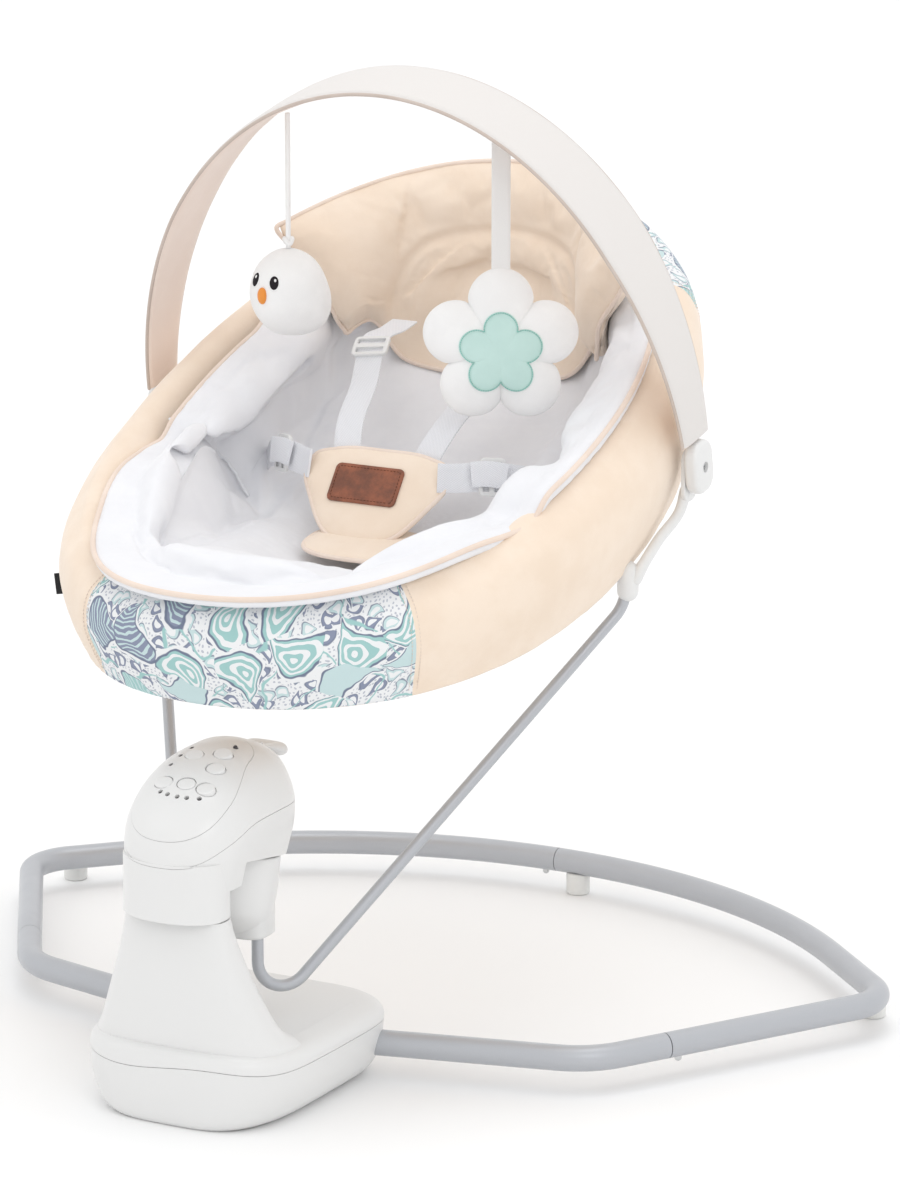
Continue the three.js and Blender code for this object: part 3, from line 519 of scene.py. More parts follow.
def plastic(name, tone, roughness, grain=0.02):
    """Moulded plastic: slight tint drift over the part, fine spark-eroded grain, soft gloss."""
    paint = Paint(name, roughness, Coat_Weight=0.12, Coat_Roughness=0.15)
    paint.colour(paint.mix(paint.noise(2.5, 1), shaded(tone, 0.975), tone))
    paint.put(paint.shader.inputs["Roughness"],
              paint.math("MULTIPLY_ADD", paint.noise(4, 1), 0.1 * roughness, roughness * 0.95))
    return paint.bump(paint.noise(2200, 1), grain * 0.3, 0.1).material


def coated_tube(name, tone):
    """Powder-coated tube with a fine metallic fleck."""
    paint = Paint(name, 0.38, 0.35, Coat_Weight=0.2, Coat_Roughness=0.25)
    fleck = paint.noise(1800, 2)
    paint.colour(paint.mix(fleck, shaded(tone, 0.93), shaded(tone, 1.05)))
    paint.rough(paint.noise(35, 4), 0.34, 0.44)
    return paint.bump(paint.noise(1500, 3), 0.02, 0.6).material


def metal(name, tone, roughness):
    """Bare metal with faint stains and uneven polish."""
    paint = Paint(name, roughness, 1.0)
    paint.colour(paint.mix(paint.noise(40, 4), shaded(tone, 0.85), tone))
    paint.rough(paint.noise(160, 5), roughness * 0.8, roughness * 1.3)
    return paint.bump(paint.noise(900, 4), 0.01, 0.5).material


def pile(name, tone, shade, nap=0.25, sheen=0.35):
    """Short-pile knit: soft clouds of nap, fine fibre and a faint sheen."""
    paint = Paint(name, 0.92, Sheen_Weight=sheen, Sheen_Roughness=0.45, Specular_IOR_Level=0.15)
    clouds = paint.span(paint.noise(22, 5, 0.6), 0.35, 0.68)
    fibre = paint.noise(1300, 3, 0.7)
    # The clouds vary the tone at random. The fine fibre also raises the nap, so its low spots take the shade
    # colour: painted shade in the nap.
    share = paint.math("ADD", paint.math("MULTIPLY", clouds, 0.65), paint.math("MULTIPLY", fibre, 0.35))
    paint.colour(paint.mix(share, shade, tone))
    paint.bump(fibre, nap, 0.55)
    return paint.bump(paint.noise(240, 3, 0.6), 0.35, 0.25).material


def woven(name, tone, shade, pitch=0.9, depth=0.12):
    """Plain weave that follows the cloth's own directions."""
    paint = Paint(name, 0.8, Sheen_Weight=0.15, Sheen_Roughness=0.4, Specular_IOR_Level=0.25)
    split = paint.node("ShaderNodeSeparateXYZ")
    paint.put(split.inputs[0], paint.cloth_place())
    turns = 2 * math.pi / (pitch * MM)
    warp = paint.math("SINE", paint.math("MULTIPLY", split.outputs[0], turns))
    weft = paint.math("SINE", paint.math("MULTIPLY", split.outputs[1], turns * 0.55))
    weave = paint.math("MULTIPLY", warp, weft)
    # The weave mask both raises the threads and colours them: tone on the raised threads and the shade colour
    # in the hollows between them, which is painted shade.
    share = paint.span(weave, -0.9, 0.9)
    paint.colour(paint.mix(share, shade, tone))
    return paint.bump(share, depth, 0.8).bump(paint.noise(900, 3), 0.1, 0.3).material


def leather(name, tone):
    """Grained leather, darker and smoother in worn patches."""
    paint = Paint(name, 0.5, Coat_Weight=0.1, Coat_Roughness=0.35)
    grain = paint.cells(900, feature="DISTANCE_TO_EDGE").outputs["Distance"]
    worn = paint.noise(70, 5, 0.65)
    paint.colour(paint.mix(paint.span(worn, 0.3, 0.75), shaded(tone, 0.55), shaded(tone, 1.25)))
    paint.rough(worn, 0.42, 0.62)
    return paint.bump(paint.span(grain, 0.0, 0.25), 0.12, 0.8).material


def leafy_print(name):
    """White cotton printed with leaf and teardrop shapes in mint and slate, ringed and outlined."""
    white, mint, pale = (0.80, 0.81, 0.82), (0.34, 0.56, 0.55), (0.54, 0.68, 0.69)
    slate, ink = (0.25, 0.28, 0.38), (0.17, 0.20, 0.28)
    paint = Paint(name, 0.85, Sheen_Weight=0.15, Sheen_Roughness=0.4, Specular_IOR_Level=0.2)
    calc = paint.math
    lay = paint.cloth_place()
    wobble = paint.node("ShaderNodeTexNoise", noise_dimensions="2D")
    paint.put(wobble.inputs["Vector"], lay)
    wobble.inputs["Scale"].default_value = 38
    shift = paint.vector("SCALE", paint.vector("SUBTRACT", wobble.outputs["Color"], (0.5, 0.5, 0.5)))
    shift.node.inputs["Scale"].default_value = 0.012
    lay = paint.vector("ADD", lay, shift)

    def drops(scale, length, width, spin):
        """Reach, below 1 inside the nearest drop, with its random tint and the place across and along it."""
        cell = paint.cells(scale, lay, randomness=0.75)
        local = paint.vector("SUBTRACT", lay, cell.outputs["Position"])
        split = paint.node("ShaderNodeSeparateXYZ")
        paint.put(split.inputs[0], local)
        tint = paint.node("ShaderNodeSeparateColor")
        paint.put(tint.inputs[0], cell.outputs["Color"])
        angle = calc("MULTIPLY", tint.outputs[0], spin)
        c, s = calc("COSINE", angle), calc("SINE", angle)
        x = calc("ADD", calc("MULTIPLY", split.outputs[0], c), calc("MULTIPLY", split.outputs[1], s))
        y = calc("SUBTRACT", calc("MULTIPLY", split.outputs[1], c), calc("MULTIPLY", split.outputs[0], s))
        y = calc("DIVIDE", y, length)
        hook = calc("MULTIPLY", calc("MULTIPLY", y, y), 0.75 * length)
        x = calc("DIVIDE", calc("ADD", x, hook), width)
        taper = calc("ADD", 1.0, calc("MULTIPLY", y, 0.75))
        x = calc("DIVIDE", x, calc("MAXIMUM", taper, 0.08))
        reach = calc("SQRT", calc("ADD", calc("MULTIPLY", x, x), calc("MULTIPLY", y, y)))
        return reach, tint.outputs[1], x, y

    def line(value, centre, half):
        return paint.span(calc("ABSOLUTE", calc("SUBTRACT", value, centre)), half, half * 0.4)

    reach, tint, across, along = drops(20, 0.027, 0.0155, 9.0)
    inside = calc("LESS_THAN", reach, 1.0)
    body = paint.mix(calc("GREATER_THAN", tint, 0.52), mint,
                     paint.mix(calc("GREATER_THAN", tint, 0.78), slate, pale))
    wave = calc("SINE", calc("MULTIPLY", reach, 19.0))
    ringed = paint.mix(calc("GREATER_THAN", wave, 0.2), body, white)
    veins = calc("SINE", calc("ADD", calc("MULTIPLY", along, 38.0),
                              calc("MULTIPLY", calc("ABSOLUTE", across), 9.0)))
    veined = paint.mix(calc("GREATER_THAN", veins, 0.35), body, pale)
    filled = paint.mix(calc("GREATER_THAN", tint, 0.4), ringed, veined)
    small_reach, small_tint, _, _ = drops(63, 0.0085, 0.0048, 17.0)
    small = paint.mix(calc("GREATER_THAN", small_tint, 0.5), pale, slate)
    small = paint.mix(calc("LESS_THAN", small_reach, 0.5), small, white)
    dot = paint.cells(250, lay, randomness=0.55)
    dots = calc("LESS_THAN", dot.outputs["Distance"], 0.24)
    vine = paint.node("ShaderNodeTexNoise", noise_dimensions="2D")
    paint.put(vine.inputs["Vector"], lay)
    vine.inputs["Scale"].default_value = 24
    vine.inputs["Detail"].default_value = 0.5
    stems = line(vine.outputs[0], 0.5, 0.022)
    ground = paint.mix(calc("MULTIPLY", dots, 0.55), white, slate)
    ground = paint.mix(calc("LESS_THAN", small_reach, 1.25), ground, white)
    ground = paint.mix(calc("LESS_THAN", small_reach, 1.0), ground, small)
    ground = paint.mix(calc("MULTIPLY", line(small_reach, 1.0, 0.16), 0.8), ground, ink)
    ground = paint.mix(stems, ground, mint)
    halo = calc("LESS_THAN", reach, 1.22)
    ground = paint.mix(halo, ground, white)
    design = paint.mix(inside, ground, filled)
    design = paint.mix(line(reach, 1.0, 0.075), design, ink)
    paint.colour(design)
    fibre = paint.noise(1500, 3, 0.7)
    return paint.bump(fibre, 0.12, 0.5).bump(paint.noise(200, 3), 0.3, 0.2).material


WHITE_PLASTIC = plastic("white_plastic", (0.755, 0.755, 0.75), 0.3)
KEY_PLASTIC = plastic("key_plastic", (0.775, 0.775, 0.77), 0.35)
DARK_PLASTIC = plastic("dark_plastic", (0.02, 0.02, 0.022), 0.5, 0.05)
SMOKY = plastic("smoky_clear", (0.05, 0.045, 0.05), 0.15)
RUBBER = plastic("rubber_foot", (0.78, 0.78, 0.76), 0.6, 0.06)
BOARD = plastic("circuit_board", (0.02, 0.16, 0.06), 0.45)
GREY_TUBE = coated_tube("grey_tube", (0.47, 0.485, 0.515))
STEEL = metal("plain_steel", (0.60, 0.61, 0.62), 0.3)
CHROME = metal("bright_steel", (0.72, 0.73, 0.74), 0.16)
COPPER = metal("copper_coil", (0.75, 0.36, 0.18), 0.35)
PEACH = pile("peach_velour", (0.87, 0.745, 0.625), (0.815, 0.675, 0.545))
PEACH_TRIM = pile("piping_cloth", (0.84, 0.72, 0.63), (0.76, 0.63, 0.54), 0.1, 0.15)
WHITE_PILE = pile("white_brushed", (0.825, 0.83, 0.855), (0.78, 0.785, 0.815))
PLUSH = pile("white_plush", (0.89, 0.885, 0.88), (0.82, 0.815, 0.81), 0.45, 0.5)
MINT = pile("mint_felt", (0.56, 0.75, 0.705), (0.50, 0.69, 0.645), 0.2)
MINT_THREAD = pile("mint_thread", (0.30, 0.60, 0.53), (0.25, 0.52, 0.46), 0.05, 0.05)
BAND_OUTER = woven("band_outer", (0.76, 0.735, 0.715), (0.71, 0.68, 0.66), 0.5, 0.05)
BAND_INNER = pile("band_inner", (0.88, 0.77, 0.70), (0.84, 0.72, 0.65))
BAND_TRIM = pile("band_trim", (0.60, 0.52, 0.47), (0.52, 0.44, 0.39), 0.08, 0.1)
WEBBING = woven("white_webbing", (0.85, 0.855, 0.88), (0.72, 0.73, 0.77), 1.5, 0.3)
GREY_WEBBING = woven("grey_webbing", (0.55, 0.53, 0.52), (0.45, 0.43, 0.42), 1.5, 0.3)
THREAD = pile("seam_thread", (0.80, 0.70, 0.62), (0.70, 0.60, 0.52), 0.05, 0.05)
BLACK_CLOTH = woven("black_tag", (0.03, 0.03, 0.033), (0.015, 0.015, 0.017), 0.6, 0.08)
LEATHER = leather("brown_leather", (0.27, 0.085, 0.04))
LEATHER_THREAD = pile("leather_thread", (0.12, 0.04, 0.02), (0.08, 0.025, 0.012), 0.05, 0.05)
BEAK = pile("beak_felt", (0.85, 0.33, 0.07), (0.72, 0.25, 0.05), 0.2)
EYE = pile("eye_thread", (0.03, 0.025, 0.03), (0.015, 0.012, 0.015), 0.05, 0.1)
PRINT = leafy_print("leaf_print")
BIRD_RING = pile("eye_ring", (0.87, 0.86, 0.86), (0.8, 0.8, 0.8), 0.1)
RIBBON_CLOTH = woven("ribbon_cloth", (0.80, 0.79, 0.78), (0.73, 0.72, 0.71), 0.8, 0.08)


# ---------------------------------------------------------------- camera and stage
CAMERA = dict(azimuth=27.77, elevation=13.5, distance=4.5, target=(0, 300, 400), lens=153.5,
              shift=(0.0058, -0.0617))
FLOOR_HALF = 30
SKY_STRENGTH = 1.03
LAMP_WIDTH, LAMP_AIM = 2.2, (0, 0, 0.4)
LAMPS = (("key", (-2.6, -2.6, 3.4), 4), ("front", (2.9, -2.6, 3.0), 14), ("top", (0.2, 0.2, 3.6), 17))


def camera_and_stage():
    """Three-quarter camera from the front right, a pale floor and soft studio light."""
    azimuth, elevation = math.radians(CAMERA["azimuth"]), math.radians(CAMERA["elevation"])
    target = row([CAMERA["target"]])[0]
    back = Vector((math.sin(azimuth) * math.cos(elevation), -math.cos(azimuth) * math.cos(elevation),
                   math.sin(elevation)))
    data = bpy.data.cameras.new("camera")
    data.lens = CAMERA["lens"]
    data.shift_x, data.shift_y = CAMERA["shift"]
    camera = add_object("camera", data)
    camera.location = Vector(target) + back * CAMERA["distance"]
    camera.rotation_euler = back.to_track_quat("Z", "Y").to_euler()
    bpy.context.scene.camera = camera

    floor = bpy.data.meshes.new("floor")
    corners = [(x * FLOOR_HALF, y * FLOOR_HALF, 0) for x, y in ((-1, -1), (1, -1), (1, 1), (-1, 1))]
    floor.from_pydata(corners, [], [(0, 1, 2, 3)])
    ground = add_object("floor", floor)
    paint = Paint("floor_paint", 0.55, Specular_IOR_Level=0.25)
    # Painted shade: the floor is painted light grey near the swing and pure white from about 2.6 m out, so it
    # greys round the swing and fades into the white backdrop.
    far = paint.span(paint.vector("LENGTH", paint.place), 0.7, 2.6)
    near = paint.mix(paint.noise(0.8, 2), (0.93, 0.93, 0.93), (0.95, 0.95, 0.95))
    paint.colour(paint.mix(far, near, (1.0, 1.0, 1.0)))
    floor.materials.append(paint.material)

    world = bpy.data.worlds.new("studio")
    bpy.context.scene.world = world
    world.use_nodes = True
    world.node_tree.nodes["Background"].inputs["Color"].default_value = (1, 1, 1, 1)
    world.node_tree.nodes["Background"].inputs["Strength"].default_value = SKY_STRENGTH
    for name, place, watts in LAMPS:
        lamp = bpy.data.lights.new(name, "AREA")
        lamp.shape = "DISK"
        lamp.size = LAMP_WIDTH
        lamp.energy = watts
        light = add_object(name, lamp)
        light.location = place
        light.rotation_euler = (Vector(place) - Vector(LAMP_AIM)).to_track_quat("Z", "Y").to_euler()
    bpy.context.scene.view_settings.view_transform = "Standard"


# ---------------------------------------------------------------- floor loop
def front_route(side):
    """Middle line of a front tube, from inside the base to the joint."""
    (ex, ey), (bx, by), (jx, jy) = LOOP["exit"], LOOP["bend"], LOOP["joint"]
    hidden = LOOP["hidden"]
    inside = (ex - hidden, ey - hidden * (by - ey) / (bx - ex))
    corners = [(side * x, y, TUBE["height"]) for x, y in (inside, (bx, by), (jx, jy))]
    return dense(filleted(corners, [LOOP["bend_radius"]]), 12)


def rear_route(side):
    """Middle line of a rear tube, from the joint round the corner to the middle of the back."""
    height = TUBE["height"]
    start, corner = (np.array((*LOOP[key], height), float) for key in ("joint", "corner"))
    start += unit(corner - start) * LOOP["gap"]
    spread, radius, centre = math.radians(LOOP["back_angle"]), LOOP["back_radius"], LOOP["back_centre"]
    sweep = [(radius * math.sin(a), centre + radius * math.cos(a), height)
             for a in np.linspace(spread, 0, 46)]
    points = filleted([start, corner, sweep[0]], [LOOP["corner_radius"]])
    points = np.vstack([points, sweep[1:-1], [(LOOP["gap"] / 2, centre + radius, height)]])
    points[:, 0] *= side
    return dense(points, 14)


def joint_places():
    """Each tube joint's place, heading, and distance from it to its stud."""
    stud = LOOP["stud_from_joint"]
    (jx, jy), (cx, cy) = LOOP["joint"], LOOP["corner"]
    heading = math.atan2(cy - jy, cx - jx)
    back = LOOP["back_centre"] + LOOP["back_radius"]
    return {"right": (jx, jy, heading, stud), "left": (-jx, jy, math.pi - heading, stud),
            "rear": (0, back, 0, -stud)}


def floor_loop():
    for name, side in SIDES:
        for part, route in (("front", front_route(side)), ("rear", rear_route(side))):
            node = f"{part}_tube_{name}"
            skin = tube(f"{node}_skin", route, TUBE["radius"], GREY_TUBE, 40)
            install(skin, "stand", "satin_grey_tube", node)
    for name, (x, y, heading, along) in joint_places().items():
        stud_x, stud_y = x + along * math.cos(heading), y + along * math.sin(heading)
        low = TUBE["height"] - TUBE["radius"] - STUD["press"]
        path = [(stud_x, stud_y, low + 1.2), (stud_x, stud_y, TUBE["height"] + 1.4)]
        path = dense(np.array(path, float), 4)
        stud = tube(f"snap_button_{name}_skin", path, STUD["radius"], CHROME, 24, 4)
        install(stud, f"snap_button_{name}", "bright_steel", f"snap_button_{name}")


def feet():
    """Short round feet with softened edges, hollowed at the top where they hold the tube."""
    for name, (x, y) in FEET.items():
        outline = rounded_outline(FOOT["width"], FOOT["width"], FOOT["round"], 12)
        rings = slab_rings(outline, 0, FOOT["height"], FOOT["edge"])
        body = loft(f"foot_{name}_skin", rings + (x, y, 0), RUBBER, sharp=50)
        route = dense(rear_route(1 if x > 0 else -1), 4)
        near = route[np.linalg.norm(route[:, :2] - (x, y), axis=1) < 40]
        carve(body, tube("saddle", near, TUBE["radius"] + 0.3, RUBBER, 40))
        install(body, "stand", "rubber_foot", f"foot_{name}", sharp=40)


# ---------------------------------------------------------------- base and column
BASE = dict(y=-60, front=128, back=92, square=3.8, square_back=4.5, flare=0.0003)
COLUMN_Y = -163


def node_middle(node):
    """Middle of a CAD node's box, in drawing millimetres."""
    low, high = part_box(node)
    return [(low[k] + high[k]) / 2 / MM + (0, CENTRE_Y, 0)[k] for k in range(3)]


def base_ring(z, half, inset=0.0):
    return oval(z, BASE["y"], half - inset, BASE["front"] - inset, BASE["back"] - inset,
                BASE["square"], BASE["square_back"], BASE["flare"])


def column_ring(z, inset=0.0):
    """Outline of the column. Its flared foot dies into the base's rounded shoulder."""
    rise = np.clip((z - 66) / (NECK_Z - 66), 0, 1)
    swell = (1 - rise) ** 1.3
    fillet = 9 * math.exp(-(max(z, 64) - 66) / 5.5)
    ring = oval(z, COLUMN_Y + 18 * swell, 46 + 38 * swell - inset + fillet,
                29 + 12 * swell - inset + min(fillet, 3), 29.5 + 10.5 * swell - inset + fillet,
                2.15 + 0.5 * swell)
    place = ring[:, :2] - (0, BASE["y"])
    square, edge = BASE["square"], 0.86
    reach = (np.abs(place[:, 0] / 95) ** square
             + np.abs(place[:, 1] / (BASE["front"] - 7)) ** square) ** (1 / square)
    held = np.where(reach < edge, reach, edge + (1 - edge) * np.tanh((reach - edge) / (1 - edge)))
    ring[:, :2] = place * (held / reach)[:, None] + (0, BASE["y"])
    return ring


def parting_wave(points):
    """Carries the rings near the parting line up and down in a slow wave across the front."""
    x, y, z = points[..., 0], points[..., 1], points[..., 2]
    front = step(-(y - BASE["y"]), 40, 110)
    wave = 3.2 * np.sin(x / 26) * front
    near = np.exp(-((z - PARTING_Z) / 9.0) ** 2)
    points[..., 2] = z + wave * near
    return points


# Height, half width and inset of the upper shell's shoulder, and heights of the column's rings.
SHOULDER = ((PARTING_Z + 0.35, 102.6, 0), (52.5, 102.7, 0), (55, 102.5, 0.2), (57.6, 101.9, 0.6),
            (60.5, 100.6, 1.6), (63, 98.6, 3.2), (64.8, 96, 5.4), (65.8, 93.6, 8.4), (66.1, 91, 12))
COLUMN_RISES = (60.5, 62.5, 64, 65.2, 66, 66.9, 67.8, 69, 71, 74, 78, 84, 92, 101, 112, 124, 137, 150, 162,
                NECK_Z - 1.2, NECK_Z - 0.4)


def base_shells():
    """Lower shell with its openings, and upper shell that rises into the column."""
    levels = smooth_line([(0, 78, 0), (3, 84, 0), (10, 91, 0), (28, 99.5, 0),
                          (PARTING_Z - 0.15, 102.5, 0)], 16)
    rings = np.array([base_ring(z, half, 4.5 * math.exp(-z / 2.6)) for z, half, _ in levels])
    lower = loft("base_lower_skin", parting_wave(rings), WHITE_PLASTIC, sharp=45)
    for _, side in SIDES:
        carve(lower, tube("exit", front_route(side)[:3], TUBE["radius"] + 0.5, DARK_PLASTIC, 40))
    x, y, _ = node_middle("battery_cover")
    hatch = slab_rings(rounded_outline(96, 62, 5), -20, 2.9, 0.5, 1) + (x, y, 0)
    carve(lower, loft("hatch", hatch, DARK_PLASTIC))
    x, y, z = node_middle("dc_inlet")
    path = np.array([(x, y - 7.4, z), (x, y + 30, z)])
    carve(lower, tube("inlet_hole", dense(path, 8), 5.5, DARK_PLASTIC, 32))
    install(lower, "stand", "white_plastic", "base_lower_shell", sharp=40)

    skirt = [base_ring(*level) for level in SHOULDER]
    column = [column_ring(z) for z in COLUMN_RISES]
    column += [column_ring(NECK_Z - 0.3, 0.9), column_ring(NECK_Z - 0.3, 12)]
    upper = loft("base_upper_skin", parting_wave(np.array(skirt + column)), WHITE_PLASTIC, sharp=60)
    install(upper, "stand", "white_plastic", "base_upper_shell")


# ---------------------------------------------------------------- head
# Plan of the head at each height: z, front, back and half width.
HEAD_LEVELS = [
    (199, -194, -37, 47), (212, -194, -32, 49), (232, -193, -26, 52), (250, -187, -25, 52),
    (268, -173, -30, 48), (283, -153, -38, 41), (293, -133, -50, 31), (299, -115, -64, 19),
    (301.5, -102, -76, 8), (302, -94, -86, 2),
]
# Side profiles of the two joint lines, as y and z.
SEAM_PANEL = [(-215, 232), (-194, 241), (-150, 268), (-112, 289), (-85, 295), (-66, 306), (-50, 330)]
SEAM_BODY = [(-215, 216), (-194, 222), (-165, 237), (-135, 246.5), (-90, 249), (-20, 247), (10, 246)]
SEAM_GAP = 0.45


def head_ring(z, front, back, half, inset=0.0, steps=40):
    """Plan of the head: half ovals at front and back with straight sides between."""
    depth = min(half, (back - front) / 2) * 0.96
    ring = []
    for middle, turn in ((back - depth, 0), (front + depth, math.pi)):
        for i in range(steps + 1):
            a = turn + math.pi * i / steps
            c, s = math.cos(a), math.sin(a)
            ring.append(((half - inset) * float(power(c, 0.92)),
                         middle + (depth - inset) * float(power(s, 0.92)), z))
    return ring


def neck_ring(z, inset=0.0):
    return oval(z, COLUMN_Y, 46 - inset, 31 - inset, 28.5 - inset, 2.25, count=96)


def drive_frame(points):
    """From the leaning drive axle's own frame to drawing points."""
    return turn_x(points, -AXLE_LEAN) + np.array((0, AXLE_Y, AXLE_Z), float)


def seam_slab(profile, limit, shift, paint):
    """Solid that fills everything above a side profile, or below it."""
    line = smooth_line([(0, y, z + shift) for y, z in profile], 90)[:, 1:]
    outline = np.vstack([line, [(line[-1][0], limit), (line[0][0], limit)]])
    rings = [[(x, y, z) for y, z in outline] for x in (-150, 150)]
    return loft("slab", rings, paint)


def head_body(name, inset):
    """The whole head as one solid: dome, cut away under the hub, and neck."""
    levels = smooth_line(HEAD_LEVELS, 44)
    levels[:, 0] -= inset * step(levels[:, 0], 240, 300)
    rings = [head_ring(*level, inset=min(inset, level[3] * 0.7)) for level in levels]
    dome = loft(name, rings, WHITE_PLASTIC)
    thickness = 4 if inset else 1
    under = slab_rings(rounded_outline(160, 116, 10), -80, thickness, 2, 3)
    under = drive_frame(under) + np.array((0, 5.5, 0))
    carve(dome, loft("under", under, WHITE_PLASTIC))
    bottom = NECK_Z - 6 if inset else NECK_Z + 0.5
    neck = [neck_ring(bottom, inset)] if inset else [neck_ring(bottom, 0.8), neck_ring(bottom + 0.8)]
    neck += [neck_ring(z, inset) for z in (182, 190, 200, 212, 225)]
    return carve(dome, loft("neck", neck, WHITE_PLASTIC), "UNION")


def panel_frame(points):
    """From the control panel's own plane to drawing points."""
    return turn_x(points, PANEL["tilt"]) + np.array(PANEL["point"], float)


def crown_drop(u, v):
    """How far the crowned panel falls below its plane."""
    return PANEL["crown"] * (u * u + v * v)


def key_outline(radius):
    a = angles_round(48)
    return np.column_stack([1.1 * radius * np.cos(a), 0.9 * radius * np.sin(a)])


def head_shells():
    """Cuts the hollow head into its lower shell, upper shell and control panel, with their openings."""
    shell = carve(head_body("head", 0), head_body("head_inside", 3))
    lower = copy_of(shell, "head_lower_skin")
    middle = copy_of(shell, "head_upper_skin")
    panel = copy_of(shell, "control_panel_skin")
    bpy.data.objects.remove(shell)
    half = SEAM_GAP / 2
    carve(lower, seam_slab(SEAM_BODY, 400, -half, WHITE_PLASTIC))
    carve(middle, seam_slab(SEAM_BODY, 400, half, WHITE_PLASTIC), "INTERSECT")
    carve(middle, seam_slab(SEAM_PANEL, 400, -half, WHITE_PLASTIC))
    carve(panel, seam_slab(SEAM_PANEL, 400, half, WHITE_PLASTIC), "INTERSECT")
    hole = drive_frame(tube_rings(straight((0, 0, -20), (0, 0, 20), 10), 13.5, 40))
    carve(lower, loft("shaft_hole", hole, WHITE_PLASTIC))
    boss = loft("boss", drive_frame(np.array([
        oval(z, 0, r, r, r, count=48) for r, z in ((13.5, 1.2), (17, 1.2), (17, 30), (13.5, 30))])),
        WHITE_PLASTIC, closed_rows=True)
    slot = slab_rings(rounded_outline(LEVER["width"] + 2, 80, 3), -4.5, 4.5, 0.5, 1) + (0, 22, 0)
    slot = turn_x(slot, -LEVER["droop"]) + np.array(LEVER["hinge"], float)
    carve(middle, loft("slot", slot, WHITE_PLASTIC))
    carve(panel, loft("slot", slot, WHITE_PLASTIC))
    for name, (u, v) in KEYS.items():
        rings = slab_rings(key_outline(KEY_RADIUS + 0.45), -26, 12, 0.1, 1) + np.array((u, v, 0))
        carve(panel, loft("key_hole", panel_frame(rings), WHITE_PLASTIC))
    for u, v in SPEED_LIGHTS + TIMER_LIGHTS:
        hole = tube_rings(straight((u, v, -30), (u, v, 12), 10), LIGHT["hole"], 24)
        carve(panel, loft("light_hole", panel_frame(hole), WHITE_PLASTIC))
    lower = join_meshes("head_lower_skin", [lower, boss])
    for obj, node in ((lower, "head_lower_shell"), (middle, "head_upper_shell"), (panel, "control_panel")):
        install(obj, "stand", "white_plastic", node, sharp=32)


def keys():
    """Raised keys with softly crowned tops."""
    for name, (u, v) in KEYS.items():
        drop = crown_drop(u, v)
        outline = key_outline(KEY_RADIUS)
        rings = [at_height(outline, -6 - drop)]
        for k in range(9):
            a = math.pi / 2 * k / 8
            inset = 1 - 0.16 * (1 - math.cos(a))
            rings.append(at_height(outline * inset, 0.5 - drop + math.sin(a)))
        for share, lift in ((0.6, 1.62), (0.3, 1.7), (0.08, 1.72)):
            rings.append(at_height(outline * share, lift - drop))
        key = loft(f"{name}_skin", panel_frame(np.array(rings) + np.array((u, v, 0))), KEY_PLASTIC, sharp=60)
        install(key, name, "white_plastic", name)


def lamp_bars():
    """Smoky strips under the panel, with a round lamp in each of its holes."""
    for node, lights, base in (("speed_light_bar", SPEED_LIGHTS, -14.5),
                               ("timer_light_bar", TIMER_LIGHTS, -21)):
        low, high = np.min(lights, axis=0) - 4, np.max(lights, axis=0) + 4
        strip = slab_rings(rounded_outline(*(high - low), 2), base - 1, base + 1, 0.3, 1)
        parts = [loft("strip", panel_frame(strip + np.array((*(low + high) / 2, 0))), SMOKY, sharp=40)]
        for u, v in lights:
            path = straight((u, v, base + 0.5), (u, v, -2.4 - crown_drop(u, v)), 4)
            parts.append(loft("lamp", panel_frame(tube_rings(path, LIGHT["radius"], 20, 3)), SMOKY))
        bar = join_meshes(f"{node}_skin", parts)
        install(bar, "stand", "clear_light", node, sharp=40)


def release_lever():
    """Tongue at the back of the head that swells into a soft rounded grip."""
    outline = rounded_outline(LEVER["width"], 52, 12, 14)
    shares = np.sin(np.linspace(0.06, 1, 14) * np.pi / 2)
    rings = []
    for sign, run in ((-1, shares), (1, shares[::-1])):
        for share in run:
            ring = np.column_stack([outline[:, :2] * share, np.zeros(len(outline))])
            tip = step(ring[:, 1], -4, 16)
            ring[:, 0] *= 1 + 0.3 * tip
            ring[:, 2] = sign * (2.25 + 4.2 * tip) * math.sqrt(1 - share**5) + 2.6 * tip
            rings.append(ring)
    rings = np.array(rings) + np.array((0, 22, 0))
    parts = [loft("tongue", turn_x(rings, -LEVER["droop"]), WHITE_PLASTIC, sharp=60)]
    pin = straight((-15, 0, 0), (15, 0, 0), 6)
    parts.append(loft("pin", turn_x(tube_rings(pin, 2.8, 24), -LEVER["droop"]), WHITE_PLASTIC, sharp=40))
    lever = join_meshes("release_lever_skin", parts)
    move = np.array(LEVER["hinge"], float) * MM
    lever.data.transform(Matrix.Translation(Vector(move)))
    install(lever, "release_lever", "white_plastic", "release_lever", sharp=50)


# ---------------------------------------------------------------- hub and rods
def rod_route(side):
    """Middle line of a swing rod, from the hub to the seat bracket."""
    corners = [(side * x, y, z) for x, y, z in ROD["corners"]]
    return dense(filleted(corners, ROD["radii"], 5), 12)


